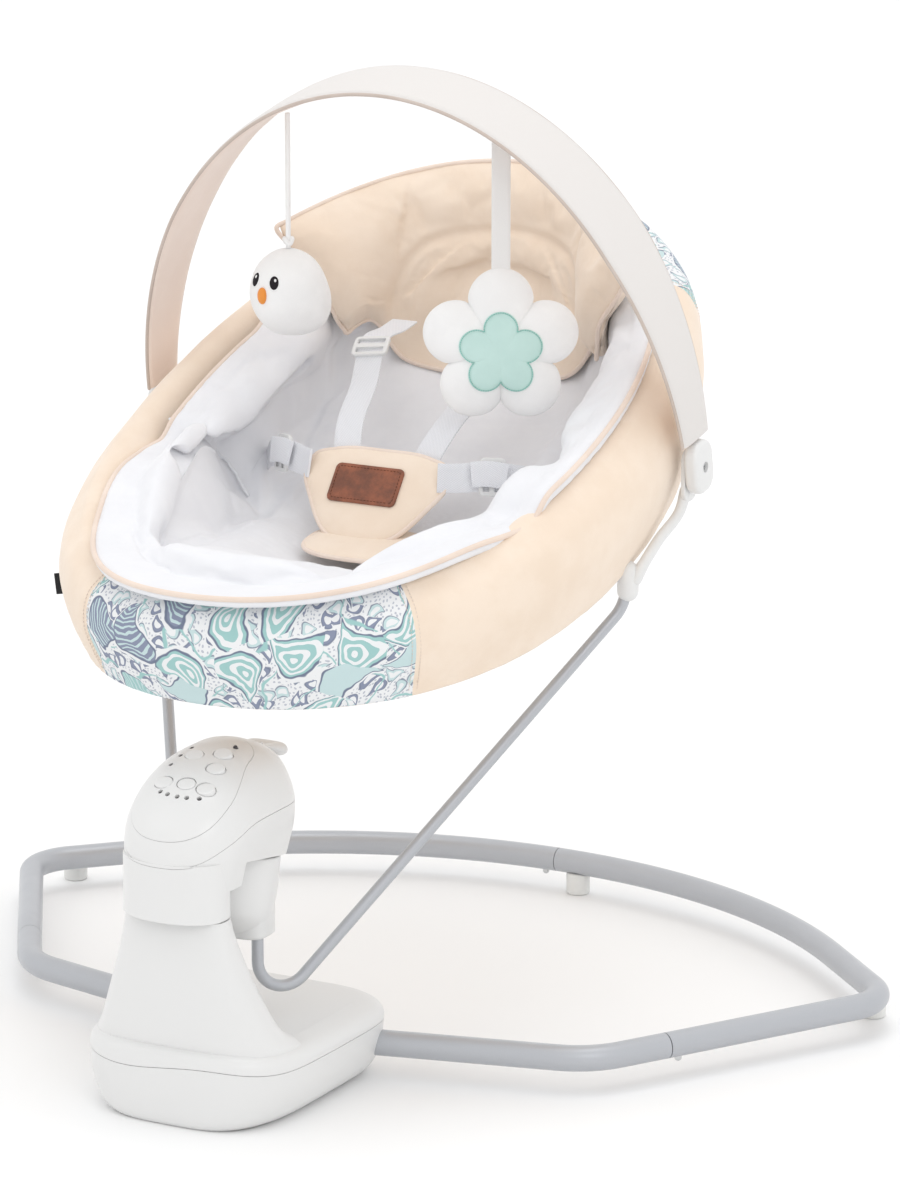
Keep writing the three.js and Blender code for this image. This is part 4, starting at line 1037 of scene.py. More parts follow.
def hub():
    """Drum that turns under the head, with a socket block for the two rods."""
    rows = smooth_line([(139, -90, 29, 12, 20), (150, -91, 40, 25, 30), (163, -92, 45, 34, 38),
                        (178, -89, HUB_RADIUS, 42, 43)], 14)
    rings = [oval(136.5, -90, 14, 5, 8), oval(137.2, -90, 23, 9, 14)]
    rings += [oval(z, y, half, front, back) for z, y, half, front, back in rows]
    top = oval(0, 0, HUB_RADIUS, HUB_RADIUS, HUB_RADIUS)
    for drop, inset in ((-1.6, 0), (-0.8, 0.25), (-0.25, 0.8), (0, 1.6)):
        rings.append(drive_frame(top * (1 - inset / HUB_RADIUS) + (0, 0, drop)))
    drum = loft("hub_skin", rings, WHITE_PLASTIC)
    rings = [oval(z, -86, 42 - inset, 20 - inset, 20 - inset, 4) for z, inset in
             ((139, 3), (139.4, 1.5), (140.5, 0.4), (142, 0), (158, 0), (176, 0))]
    carve(drum, loft("block", rings, WHITE_PLASTIC), "UNION")
    seat = drive_frame(tube_rings(straight((0, 0, -32), (0, 0, 5), 10), 6.4, 32))
    carve(drum, loft("shaft_seat", seat, WHITE_PLASTIC))
    trough = np.array([oval(z, 0, r, r, r, count=64) for r, z in ((13, -22), (40, -22), (40, 5), (13, 5))])
    carve(drum, loft("trough", drive_frame(trough), WHITE_PLASTIC, closed_rows=True))
    for _, side in SIDES:
        carve(drum, tube("bore", rod_route(side)[:3] + (0, 0, 0.3), ROD_RADIUS + 0.5, WHITE_PLASTIC, 32))
    install(drum, "swing", "white_plastic", "hub_shell", sharp=38)
    for name, side in SIDES:
        install(tube(f"swing_rod_{name}_skin", rod_route(side), ROD_RADIUS, GREY_TUBE, 32), "swing",
                "satin_grey_tube", f"swing_rod_{name}")


def brackets():
    """Side arms of the seat: socket on the rod end, run up to the lug that the bow turns on."""
    x, y, _ = ROD["corners"][-1]
    px, py, pz = BAR["pivot"]
    for name, side in SIDES:
        run = np.array([(side * (x + 2), y, 392), (side * (x + 2), y, 409.0)])
        socket = tube("socket", dense(run, 5), 9.2, WHITE_PLASTIC, 36, 4)
        run = np.array([(side * x, y, 380), (side * x, y, 405.5)])
        carve(socket, tube("bore", dense(run, 8), ROD_RADIUS + 0.4, WHITE_PLASTIC, 32))
        arm_route = smooth_line([(side * (x + 8), y + 1, 403), (side * (x + 12), y + 3, 411),
                                 (side * (x + 15), 228, 431), (side * (px - 11), py - 8, pz - 36),
                                 (side * (px - 9.8), py - 2, pz - 22)], 26)
        arm_radius = np.interp(np.arange(26), [0, 4, 20, 25], [6.2, 4.8, 4.6, 5.0])
        arm = tube("arm", arm_route, arm_radius, WHITE_PLASTIC, 24, 4)
        lug = slab_rings(rounded_outline(24, 46, 10, 10), -2, 2, 0.8, 3)[:, :, [2, 0, 1]]
        lug = loft("lug", lug + np.array((side * (px - 7.6), py, pz - 8)), WHITE_PLASTIC, sharp=50)
        bracket = join_meshes(f"seat_bracket_{name}_skin", [socket, arm, lug])
        install(bracket, "swing", "white_plastic", f"seat_bracket_{name}", sharp=45)


# ---------------------------------------------------------------- seat surfaces
HEM_START = -127     # y of the front end of the hem
FLOOR_SHARE = 0.93   # share of the plan that the sagging floor fills


def hem_height(y):
    """Height of the hem, which rises towards the head."""
    run = y - HEM_START
    return SEAT["hem"] + SEAT["slope"] * run + SEAT["curve"] * run * run


def hem_lean(y):
    return np.arctan(SEAT["slope"] + 2 * SEAT["curve"] * (y - HEM_START))


def plan(angle, scale=1.0):
    """Plan of the seat: a superellipse with its own depth in front and behind."""
    c, s = np.cos(angle), np.sin(angle)
    exponent = 2 / SEAT["square"]
    depth = np.where(s < 0, SEAT["front"], SEAT["back"])
    return scale * SEAT["half"] * power(c, exponent), SEAT["centre"] + scale * depth * power(s, exponent)


def hem(angle):
    """Hem points at angles, with the wall's outward and upward directions there."""
    x, y = plan(angle)
    depth = np.where(y < SEAT["centre"], SEAT["front"], SEAT["back"])
    nx = power(x / SEAT["half"], SEAT["square"] - 1) / SEAT["half"]
    ny = power((y - SEAT["centre"]) / depth, SEAT["square"] - 1) / depth
    size = np.hypot(nx, ny)
    lean = hem_lean(y)
    out = np.stack([nx / size, ny / size * np.cos(lean), ny / size * np.sin(lean)], axis=-1)
    up = np.stack([np.zeros_like(lean), -np.sin(lean), np.cos(lean)], axis=-1)
    return np.stack([x, y, hem_height(y)], axis=-1), out, up


def wall_points(angle, out, up, spread=0.0):
    """Points at set distances outward and upward from the hem."""
    angle = np.asarray(angle, float)
    front = np.maximum(0, -np.sin(angle)) ** 2
    side = np.cos(angle) ** 2
    rise = np.where(np.asarray(up) > 0, 1 + SEAT["side_rise"] * side, 1)
    point, outward, upward = hem(angle)
    return point + outward * (out + spread * front)[..., None] + upward * (up * rise)[..., None]


def floor_points(angle, scale, lift=0.0):
    """Points of the sagging floor on a scaled plan."""
    x, y = plan(angle, scale)
    sag = SEAT["sag"] * (1 - (scale / FLOOR_SHARE) ** 2)
    return np.stack([x, y, hem_height(y) - sag + lift], axis=-1)


PIPING, SLIM_PIPING, EDGE_CORD = 2.3, 2.1, 1.5     # radii of the sewn edgings
AROUND = 224
ANGLES = angles_round(AROUND)
FRONT_PRINT = (math.radians(-116), math.radians(-49.5))
REAR_PRINT = (math.radians(43), math.radians(137))
NOTCH = {"right": math.radians(-21.5), "left": math.radians(-170)}


def angle_gap(angle, centre):
    """Signed distance between two angles, within half a turn."""
    return (np.asarray(angle) - centre + np.pi) % (2 * np.pi) - np.pi


def in_print(angle):
    """True where an angle lies in one of the two printed panels."""
    spans = ((angle_gap(angle, (a + b) / 2), (b - a) / 2) for a, b in (FRONT_PRINT, REAR_PRINT))
    return np.any([np.abs(gap) < half for gap, half in spans], axis=0)


def ripples(point, scale, seed):
    """Repeatable soft noise at a drawing point."""
    return noise.noise(Vector((point[0] / scale + seed, point[1] / scale, point[2] / scale)))


def seat_cover():
    """Outer cover: a stretched bowl with a turned hem, sewn from velour and printed panels."""
    seams = [*FRONT_PRINT, *REAR_PRINT]
    angles = ANGLES.copy()
    for seam in seams:
        angles[np.argmin(np.abs(angle_gap(angles, seam)))] = seam % (2 * np.pi)
    near_seam = np.min([np.abs(angle_gap(angles, seam)) for seam in seams], axis=0) * 230
    groove = 1.5 * np.exp(-(near_seam / 2.2) ** 2)
    outside = smooth_line([(-7, -9.6), (-3.2, -11.4), (0.4, -10.6), (2.6, -5), (11, 14), (17, 36), (11, 60),
                           (-6, 74)], 38)
    inside = smooth_line([(-6, 74), (-15, 76), (-24, 74), (-38, 60), (-46, 38), (-52, 20)], 20)[1:]
    rings = [floor_points(angles, scale) for scale in (0.12, 0.25, 0.4, 0.55, 0.7, 0.8, 0.88, 0.93)]
    rings.append(wall_points(angles, np.full(AROUND, -6.0), np.full(AROUND, -2.0)))
    first_wall = len(rings)
    for out, up in [*outside, *inside]:
        rings.append(wall_points(angles, out - groove * (up > 2), np.full(AROUND, up)))
    rings += [floor_points(angles, scale, 10) for scale in (0.66, 0.45, 0.22, 0.1)]
    rings = np.array(rings)
    outward = hem(angles)[1]
    for r in range(first_wall + 3, first_wall + len(outside)):
        up = outside[r - first_wall][1]
        tight = np.exp(-((up + 2) / 9) ** 2)
        for i in range(AROUND):
            p = rings[r, i]
            pull = ripples((math.degrees(angles[i]) * 5.2, up * 0.6, 0), 9.0, 3.1) * 1.5 * tight
            slack = ripples(p, 62, 7.7) * 1.5 + ripples(p, 26, 1.3) * 0.5
            rings[r, i] = p + outward[i] * (pull + slack * (1 - 0.6 * tight))
    cover = loft("seat_cover_skin", rings, PEACH)
    cover.data.materials.append(PRINT)
    cover.data.materials.append(PEACH_TRIM)
    printed = in_print(angles + np.pi / AROUND)
    for face in cover.data.polygons:
        r = min(face.vertices) // AROUND
        places = [v % AROUND for v in face.vertices]
        i = min(places) if max(places) - min(places) < 3 else AROUND - 1
        if first_wall + 3 <= r < first_wall + len(outside) + 2 and printed[i]:
            face.material_index = 1
        elif first_wall <= r < first_wall + 3:
            face.material_index = 2
    install(cover, "swing", "patterned_cloth", "seat_cover")
    for number, seam in enumerate(seams):
        for shift in (-0.013, 0.013):
            run = np.array([wall_points(np.array([seam + shift]), np.array([out + 0.1]), np.array([up]))[0]
                            for out, up in outside[5:]])
            name = f"cover_stitches_{number}_{'a' if shift < 0 else 'b'}"
            dashes = stitches(name, run, 3.4, 2.2, 0.35, THREAD)
            install(dashes, "swing", "peach_cloth")


def stitches(name, route, pitch, length, radius, paint, closed=False):
    """Row of short raised threads along a route."""
    route = np.asarray(route, float)
    if closed:
        route = np.vstack([route, route[:1]])
    run = np.concatenate([[0], np.cumsum(np.linalg.norm(np.diff(route, axis=0), axis=1))])
    spots = np.arange(pitch / 2, run[-1] - length / 2, pitch)
    at = lambda d: np.array([np.interp(d, run, route[:, k]) for k in range(3)])
    points, faces = [], []
    for spot in spots:
        path = np.array([at(spot - length / 2), at(spot), at(spot + length / 2)])
        rings = tube_rings(path, [radius * 0.55, radius, radius * 0.55], 6)
        start = len(points)
        points += [*rings.reshape(-1, 3)]
        faces += [tuple(start + i for i in face) for face in loft_faces(3, 6)]
        faces += [tuple(start + i for i in range(6)), tuple(start + 12 + i for i in range(6))]
    return make(name, points, faces, paint)


def side_tag():
    """Folded blank label sewn into the left of the cover."""
    angle = math.radians(-143)
    _, outward, upward = hem(np.array([angle]))
    base = wall_points(np.array([angle]), np.array([6.0]), np.array([22.0]))[0]
    route = [base + outward[0] * d for d in (-2, 4, 10, 17, 17.6)]
    tag = ribbon("side_tag", np.array(route), 19, 1.6, BLACK_CLOTH, across=upward[0])
    install(tag, "swing", "patterned_cloth")


# ---------------------------------------------------------------- newborn insert
def lobe_dip(angle):
    """How far the insert's rim drops where its wings meet: steep behind, rounded in front."""
    dips = []
    for name, turn in (("right", -1), ("left", 1)):
        gap = angle_gap(angle, NOTCH[name]) * turn
        dips.append(np.where(gap > 0, np.exp(-(gap / 0.17) ** 2), np.exp(-(gap / 0.05) ** 2)))
    return np.max(dips, axis=0)


SLIP, WING_SLIP = 20, 15         # how far the insert's left side leans in, and its left rear wing on top
LOBE_FILL, WING_FILL = 42, 14    # extra depth of the front lobes and rear wings where wall meets floor
# Sewn valleys of the insert's left half, as points on its upper side: between the two wings, under the
# front wing, and beside the back panel.
VALLEYS = [
    [(-187, 148, 505), (-179, 160, 495), (-175, 179, 483), (-170, 196, 471), (-156, 197, 448),
     (-135, 195, 426), (-114, 179, 416)],
    [(-114, 179, 416), (-119, 152, 410), (-115, 108, 407), (-111, 50, 409), (-101, -30, 415),
     (-74, -98, 440)],
    [(-114, 179, 416), (-122, 230, 428), (-130, 287, 462), (-137, 345, 520), (-142, 392, 570)],
]


def seam_gap(points, lines):
    """Distance from each point to the nearest of some polylines."""
    flat = np.asarray(points, float).reshape(-1, 3)
    best = np.full(len(flat), 1e9)
    for line in lines:
        line = np.asarray(line, float)
        for a, b in zip(line[:-1], line[1:]):
            run = b - a
            share = np.clip((flat - a) @ run / (run @ run), 0, 1)
            best = np.minimum(best, np.linalg.norm(flat - a - share[:, None] * run, axis=1))
    return best.reshape(np.asarray(points).shape[:-1])


def both_sides(lines):
    """Lines made smooth, followed by their mirror images."""
    fine = [smooth_line(line, 24) for line in lines]
    return fine + [line * (-1, 1, 1) for line in fine]


def grid_normals(rings, inside):
    """Normals of a ring grid, pointing to the side where a given point lies."""
    around = np.roll(rings, -1, axis=1) - np.roll(rings, 1, axis=1)
    along = np.gradient(rings, axis=0)
    normal = unit(np.cross(around, along))
    facing = np.sum(normal * (np.asarray(inside, float) - rings), axis=2, keepdims=True)
    return normal * np.where(facing < 0, -1, 1)


def puff(obj, held, pressure, cap, stretch=0.0, frames=20):
    """Inflates a closed cloth with some of its points held, and caps how far a point may move."""
    rest = np.empty(len(obj.data.vertices) * 3)
    obj.data.vertices.foreach_get("co", rest)
    group = obj.vertex_groups.new(name="held")
    for index, weight in enumerate(held):
        if weight > 0:
            group.add([index], float(weight), "REPLACE")
    modifier = obj.modifiers.new("cloth", "CLOTH")
    cloth = modifier.settings
    cloth.quality = 5
    cloth.mass = 0.2
    cloth.tension_stiffness = cloth.compression_stiffness = 12
    cloth.shear_stiffness = 4
    cloth.bending_stiffness = 0.4
    cloth.vertex_group_mass = "held"
    cloth.use_pressure = True
    cloth.uniform_pressure_force = pressure
    cloth.shrink_min = -stretch
    cloth.effector_weights.gravity = 0
    modifier.collision_settings.use_collision = False
    modifier.point_cache.frame_start, modifier.point_cache.frame_end = 1, frames
    scene = bpy.context.scene
    for number in range(1, frames + 1):
        scene.frame_set(number)
    graph = bpy.context.evaluated_depsgraph_get()
    moved = np.empty(len(rest))
    obj.evaluated_get(graph).data.vertices.foreach_get("co", moved)
    obj.modifiers.clear()
    scene.frame_set(1)
    shift = (moved - rest).reshape(-1, 3)
    size = np.linalg.norm(shift, axis=1, keepdims=True)
    limit = cap * MM
    shift *= np.where(size > 1e-9, limit * np.tanh(size / limit) / np.maximum(size, 1e-9), 0)
    obj.data.vertices.foreach_set("co", rest + shift.ravel())
    obj.data.update()


def insert_pad():
    """Thick soft liner: front and rear wings that meet at a notch on each side, welted round the rim."""
    count = 264
    angles = angles_round(count)
    dip = lobe_dip(angles)
    profiles = (
        ("under", [(-55, 22, 0), (-48, 40, 0), (-40.5, 60.5, 0), (-26, 75.4, 0)], 10),
        ("lip", [(-26, 75.4, 0), (-17, 75.6, 18), (-12.6, 77.5, 25), (-11.4, 81, 26), (-13, 84.2, 25),
                 (-19, 86.2, 17), (-30, 84.4, 0)], 15),
        ("down", [(-30, 84.4, 0), (-49, 66, 0), (-57, 42, 0), (-64, 26, 0)], 22))
    rings = [floor_points(angles, scale, 12.0) for scale in (0.1, 0.2, 0.35, 0.5, 0.63)]
    kinds = ["under"] * len(rings)
    turned = np.degrees(angles)
    aside = step(turned, 140, 163) * (SLIP * (1 - step(turned, 215, 262))
                                      + WING_SLIP * (1 - step(turned, 184, 194)))
    for kind, knots, steps in profiles:
        first = 0 if kind == "under" else 1
        for out, up, spread in smooth_line(knots, steps)[first:]:
            sink = dip * step(up, 30, 78)
            slip = aside * step(up, 24, 72)
            rings.append(wall_points(angles, out - 2 * sink - slip, up - 12 * sink - 0.25 * slip, spread))
            kinds.append(kind)
    floor_scales = np.linspace(0.66, 0.08, 32)
    for scale in floor_scales:
        rings.append(floor_points(angles, scale, 24))
        kinds.append("floor")
    rings, kinds = np.array(rings), np.array(kinds)
    welt_at = wall_points(angles, -12.4 - 2 * dip - aside, 84.4 - 12 * dip - 0.25 * aside, 25.5)
    valleys = both_sides(VALLEYS)
    gap = seam_gap(rings, valleys)
    flat = rings.copy()
    down = np.flatnonzero(kinds == "down")
    corner = np.zeros(len(rings))
    corner[down] = step(np.linspace(0, 1, len(down)), -0.12, 0.85)
    corner[kinds == "floor"] = step(floor_scales, 0.2, 0.66)
    front = 1 - step(rings[..., 1], 120, 200)
    lobe = LOBE_FILL * (1 - 0.45 * step(rings[..., 0], 20, 110))
    fill = lobe * front + WING_FILL * (1 - front) * (1 - step(rings[..., 1], 270, 340))
    rings[..., 2] += fill * corner[:, None] * (1 - 0.45 * np.exp(-(gap / 26) ** 2))
    normal = grid_normals(rings, (0, 200, 700))
    wall_fade = np.ones(rings.shape[:2])
    wall_fade[down] = step(np.arange(len(down)), 0, 7)[:, None]
    upper = ((kinds == "down") | (kinds == "floor"))[:, None]
    x, y = rings[..., 0], rings[..., 1]
    middle = (np.abs(x) < 100) & (y > 40)
    plump = 12 - 3 * step(y, 200, 290)
    swell = np.where(middle, np.minimum(plump, 6), plump) * (1 - np.exp(-(gap / 21) ** 2)) * wall_fade
    crease = 6.0 * np.exp(-(gap / 4.5) ** 2) * wall_fade
    soft = np.array([[ripples(p, 48, 2.2) for p in ring] for ring in rings]) * 1.6 * wall_fade
    rings = rings + normal * np.where(upper, swell - crease + soft, 0)[..., None]
    pad = loft("insert_pad_skin", rings, WHITE_PILE)
    held = np.where(upper, 0.0, 1.0) * np.ones(rings.shape[:2])
    held[kinds == "lip"] = 0.85
    held = np.maximum(held, np.exp(-(gap / 6) ** 2) > 0.4)
    held = np.maximum(held, np.where(middle & (y < 400), 0.8, 0))
    puff(pad, np.append(held.ravel(), [1, 1]), 5, 7, 0.03)
    subdivide(pad, 1)
    install(pad, "swing", "white_cloth", "insert_pad")
    welt = ring_tube("insert_welt", smooth_line(welt_at, 560, closed=True), PIPING, PEACH_TRIM)
    install(welt, "swing", "peach_cloth")
    flat = flat.reshape(-1, 3)
    moved = rings.reshape(-1, 3) - flat
    for name, line in (("left", valleys[0]), ("right", valleys[len(VALLEYS)])):
        near = [int(np.argmin(np.linalg.norm(flat - p, axis=1))) for p in line]
        edge = line + moved[near] + np.array((0, 0, 1.5))
        welt = tube(f"wing_welt_{name}", smooth_line(edge[:19], 60), EDGE_CORD, WHITE_PILE, 10, 3)
        install(welt, "swing", "white_cloth")


def subdivide(obj, levels):
    """Smooths a mesh with Catmull-Clark subdivision."""
    modifier = obj.modifiers.new("smooth", "SUBSURF")
    modifier.levels = modifier.render_levels = levels
    modifier.subdivision_type = "CATMULL_CLARK"
    apply_modifiers(obj)
    finish_shading(obj)


# ---------------------------------------------------------------- head support
def curve_at(knots, places):
    """Points on a Catmull-Rom curve through knots, at places counted in knots."""
    p = np.vstack([2 * knots[0] - knots[1], knots, 2 * knots[-1] - knots[-2]])
    places = np.asarray(places, float)
    i = np.clip(np.floor(places).astype(int), 0, len(knots) - 2)
    t = (places - i)[:, None]
    a, b, c, d = p[i], p[i + 1], p[i + 2], p[i + 3]
    return 0.5 * (2 * b + (c - a) * t + (2 * a - 5 * b + 4 * c - d) * t**2 + (3 * b - a - 3 * c + d) * t**3)


PILLOW_SPAN = (34, 146)    # degrees round the seat
PILLOW_FLOOR = 0.5         # share of the plan where its lower edge lies
ARCH_LEFT = [(-90, 372, 535), (-91, 378, 555), (-92, 382.5, 586), (-86, 388, 607), (-78, 397, 622),
             (-69, 406, 631), (-53, 416, 637), (-29, 426, 641.5), (0, 431, 643)]
ARCH = [smooth_line(ARCH_LEFT + [(-x, y, z) for x, y, z in ARCH_LEFT[-2::-1]], 70)]


def pillow_sides(angle):
    """Knots of the head support's underside and upper side at one angle, and the place of its lower edge."""
    one = np.array([angle])
    at = lambda out, up: wall_points(one, np.array([float(out)]), np.array([float(up)]))[0]
    under = np.array([floor_points(one, 0.45, 27)[0], floor_points(one, 0.6, 28)[0]]
                     + [at(*k) for k in ((-70, 31), (-64, 46), (-56, 69), (-33, 90), (-13, 122))])
    over = np.array([floor_points(one, 0.45, 40)[0], floor_points(one, 0.6, 44)[0]]
                    + [at(*k) for k in ((-86, 48), (-81, 62), (-72, 82), (-52, 103), (-24, 127))])
    return under, over, min(2.2, max(0.0, (PILLOW_FLOOR / math.sin(angle) - 0.45) / 0.15))


def head_pillow():
    """Quilted head support with an arched channel, piped along its top and hanging lower edge."""
    steps = 44
    rings, lower_edge, top_edge, arches, ends = [], [], [], [], []
    shares = np.linspace(0, 1, steps)
    edge = np.minimum(shares, 1 - shares) * steps
    for angle in np.radians(np.linspace(*PILLOW_SPAN, 97)):
        under, over, start = pillow_sides(angle)
        places = start + (6 - start) * shares
        low, high = curve_at(under, places), curve_at(over, places)
        end = min(abs(math.degrees(angle) - limit) for limit in PILLOW_SPAN)
        taper = math.sqrt(max(0.0, 1 - (1 - min(1, end / 7)) ** 2))
        crown = np.sqrt(np.clip(1 - (1 - np.minimum(1, edge / 3.6)) ** 2, 0, 1)) * (0.12 + 0.88 * taper)
        middle = (low + high) / 2
        low, high = (middle + (side - middle) * crown[:, None] for side in (low, high))
        face = unit(high - low + 1e-6)
        arch = seam_gap(high, ARCH)
        inner = (arch_side(high) > 0) * 1.0
        groove = 5.5 * np.exp(-(arch / 4.5) ** 2)
        swell = 3.5 + 6.0 * inner * (1 - np.exp(-(arch / 20) ** 2))
        high = high + face * ((swell - groove) * taper * np.minimum(1, edge / 5))[:, None]
        arches.append(arch)
        rings.append(np.vstack([low, high[::-1]]))
        lower_edge.append(middle[0])
        top_edge.append(middle[-1])
        ends.append(middle[2:-2:4])
    rings = np.array(rings)
    pillow = loft("head_pillow_skin", rings, PEACH)
    install(pillow, "swing", "peach_cloth", "head_pillow")
    count = rings.shape[1]
    for v in range(len(pillow.data.vertices) - 2):
        ring, k = divmod(v, count)
        if k >= steps:
            p = rings[ring, k]
            pillow.data.vertices[v].co += Vector((0, 0, 0.0014)) * ripples(p, 34, 1.8)
    held = np.zeros(rings.shape[:2])
    held[:, :steps] = 1
    held[:, :2] = held[:, -2:] = held[:, steps - 2:steps + 2] = 1
    held[:, steps:] = np.maximum(held[:, steps:], (np.array(arches) < 6)[:, ::-1])
    held[0], held[-1] = 1, 1
    puff(pillow, np.append(held.ravel(), [1, 1]), 5, 8, 0.02)
    subdivide(pillow, 1)
    outline = np.vstack([lower_edge[::2], ends[-1], top_edge[::-2], ends[0][::-1]])
    welt = ring_tube("pillow_welt", smooth_line(outline, 620, closed=True), SLIM_PIPING, PEACH_TRIM)
    install(welt, "swing", "peach_cloth")


def arch_side(points):
    """Positive inside the arch, negative outside it."""
    x, z = points[:, 0], points[:, 2]
    return np.where(np.abs(x) < 92, 1, -1) * np.where(z < 643 - 0.0085 * x * x, 1, -1)


# ---------------------------------------------------------------- harness
STRAP_WIDTH, STRAP_THICK = 25, 2.0
TAIL_WIDTH, TAIL_THICK = 22, 1.8
WAIST_ACROSS = (0, 0.25, 1)


def buckle_frame(points):
    """From the buckle shield's own plane to drawing points."""
    return turn_x(points, BUCKLE["lean"]) + (0, BUCKLE["y"], BUCKLE["z"])


def harness():
    """Buckle shield with its blank patch, and the shoulder and waist straps on both sides."""
    outline = smooth_line([(-68, 22), (-64, 36), (-46, 43), (0, 46), (46, 43), (64, 36), (68, 22), (56, -4),
                           (26, -38), (0, -44), (-26, -38), (-56, -4)], 120, closed=True)
    pad = loft("buckle_pad_skin", buckle_frame(padded_plate(outline, 12)), PEACH)
    install(pad, "swing", "peach_cloth", "buckle_pad")
    rim = at_height(outline, 0)
    welt = ring_tube("buckle_welt", buckle_frame(rim), PIPING, PEACH_TRIM)
    install(welt, "swing", "peach_cloth")
    plate = slab_rings(rounded_outline(66, 36, 5, 8) + (-4, 10), 6.2, 8.0, 0.6, 3)
    patch = loft("blank_patch", buckle_frame(plate), LEATHER, sharp=50)
    install(patch, "swing", "peach_cloth")
    ring = rounded_outline(60, 30, 3, 6) + (-4, 10)
    seam = buckle_frame(at_height(ring, 8.1))
    sewing = stitches("patch_stitches", seam, 3.2, 2.1, 0.3, LEATHER_THREAD, closed=True)
    install(sewing, "swing", "peach_cloth")
    shoulder = np.array([(62, 345, 570), (62, 322, 566.5), (62, 294, 565), (52, 250, 530), (44, 210, 502),
                         (39, 197, 486), (36, 189, 470), (34, 178, 456)])
    waist = np.array([(62, 172, 476), (72, 180, 475), (99, 196, 476), (120, 212, 472), (134, 228, 464),
                      (142, 238, 456)])
    tail = np.array([(88, 184, 479), (100, 190, 480), (115, 198, 477.5)])
    for name, side in SIDES:
        mirror = (side, 1, 1)
        route = smooth_line(shoulder * mirror, 46)
        strap = ribbon(f"shoulder_strap_{name}_skin", route, STRAP_WIDTH, STRAP_THICK, WEBBING)
        install(strap, "swing", "webbing", f"shoulder_strap_{name}")
        glide(f"shoulder_slide_{name}", route, 14)
        route = smooth_line(waist * mirror, 36)
        strap = ribbon(f"waist_strap_{name}_skin", route, STRAP_WIDTH, STRAP_THICK, WEBBING, WAIST_ACROSS)
        install(strap, "swing", "webbing", f"waist_strap_{name}")
        glide(f"waist_slide_{name}", route, 15, WAIST_ACROSS)
        route = smooth_line(tail * mirror, 12)
        loose = ribbon(f"waist_tail_{name}", route, TAIL_WIDTH, TAIL_THICK, WEBBING, WAIST_ACROSS)
        install(loose, "swing", "webbing")
    crotch()


def padded_plate(outline, thick):
    """Rings of a pad that is domed on both sides and meets itself at a seam round its edge."""
    rings = []
    shares = np.sin(np.linspace(0.06, 1, 12) * np.pi / 2)
    for sign, run in ((-1, shares), (1, shares[::-1])):
        for share in run:
            height = sign * thick / 2 * (1 - share**5) ** 0.5
            rings.append(at_height(outline * share, height))
    return np.array(rings)


def glide(name, route, at, across=(1, 0, 0)):
    """Three-bar slide on a strap: an open frame with a middle bar."""
    tangent = unit(route[at + 1] - route[at - 1])
    wide = unit(np.asarray(across, float) - tangent * (np.asarray(across, float) @ tangent))
    proud = np.cross(tangent, wide)
    if proud[2] < 0:
        proud = -proud
    spin = np.column_stack([wide, tangent, proud])
    plate = slab_rings(rounded_outline(STRAP_WIDTH + 8, 22, 4, 6), -0.6, 3.4, 1.2, 4)
    outer = loft("outer", plate, WHITE_PLASTIC)
    for shift in (-5, 5):
        tool = slab_rings(rounded_outline(STRAP_WIDTH + 1, 5.6, 1.2, 4), -3, 6, 0.3, 2)
        carve(outer, loft("slot", tool + (0, shift, 0), WHITE_PLASTIC))
    matrix = Matrix([[*spin[0], 0], [*spin[1], 0], [*spin[2], 0], [0, 0, 0, 1]])
    outer.data.transform(Matrix.Translation(row([(0, 0, 0)])[0]).inverted())
    outer.data.transform(Matrix.Translation(row([route[at]])[0]) @ matrix)
    outer.name = name
    install(outer, "swing", "white_plastic", sharp=40)


def crotch():
    """Padded tongue on the seat in front of the buckle pad, with the strap that holds the buckle."""
    route = smooth_line([(0, 168, 416), (0, 160, 410), (0, 154, 404)], 12)
    strap = ribbon("crotch_strap_skin", route, 34, 2.5, GREY_WEBBING)
    install(strap, "swing", "peach_cloth", "crotch_strap")
    angle = angles_round(96)
    outline = np.column_stack([58 * power(np.cos(angle), 0.75), 34 * power(np.sin(angle), 0.75)])
    lean = math.atan2(16, 100)
    place = (14, 138, 419)
    tongue = loft("crotch_pad", turn_x(padded_plate(outline, 11), lean) + place, PEACH)
    install(tongue, "swing", "peach_cloth")
    rim = turn_x(at_height(outline, 0), lean) + place
    welt = ring_tube("crotch_welt", rim, SLIM_PIPING, PEACH_TRIM)
    install(welt, "swing", "peach_cloth")


# ---------------------------------------------------------------- toy bar and toys
BOW_UP = np.array([0, -math.sin(BAR["lean"]), math.cos(BAR["lean"])])
BOW_WIDE = np.array([0, math.cos(BAR["lean"]), math.sin(BAR["lean"])])


def bow_point(angle):
    """Points on the bow's middle line, from the right pivot at 0 to the left one at pi."""
    x, y, z = BAR["pivot"]
    angle = np.asarray(angle, float)[..., None]
    return np.array([1, 0, 0]) * x * np.cos(angle) + (0, y, z) + BOW_UP * BAR["rise"] * np.sin(angle)


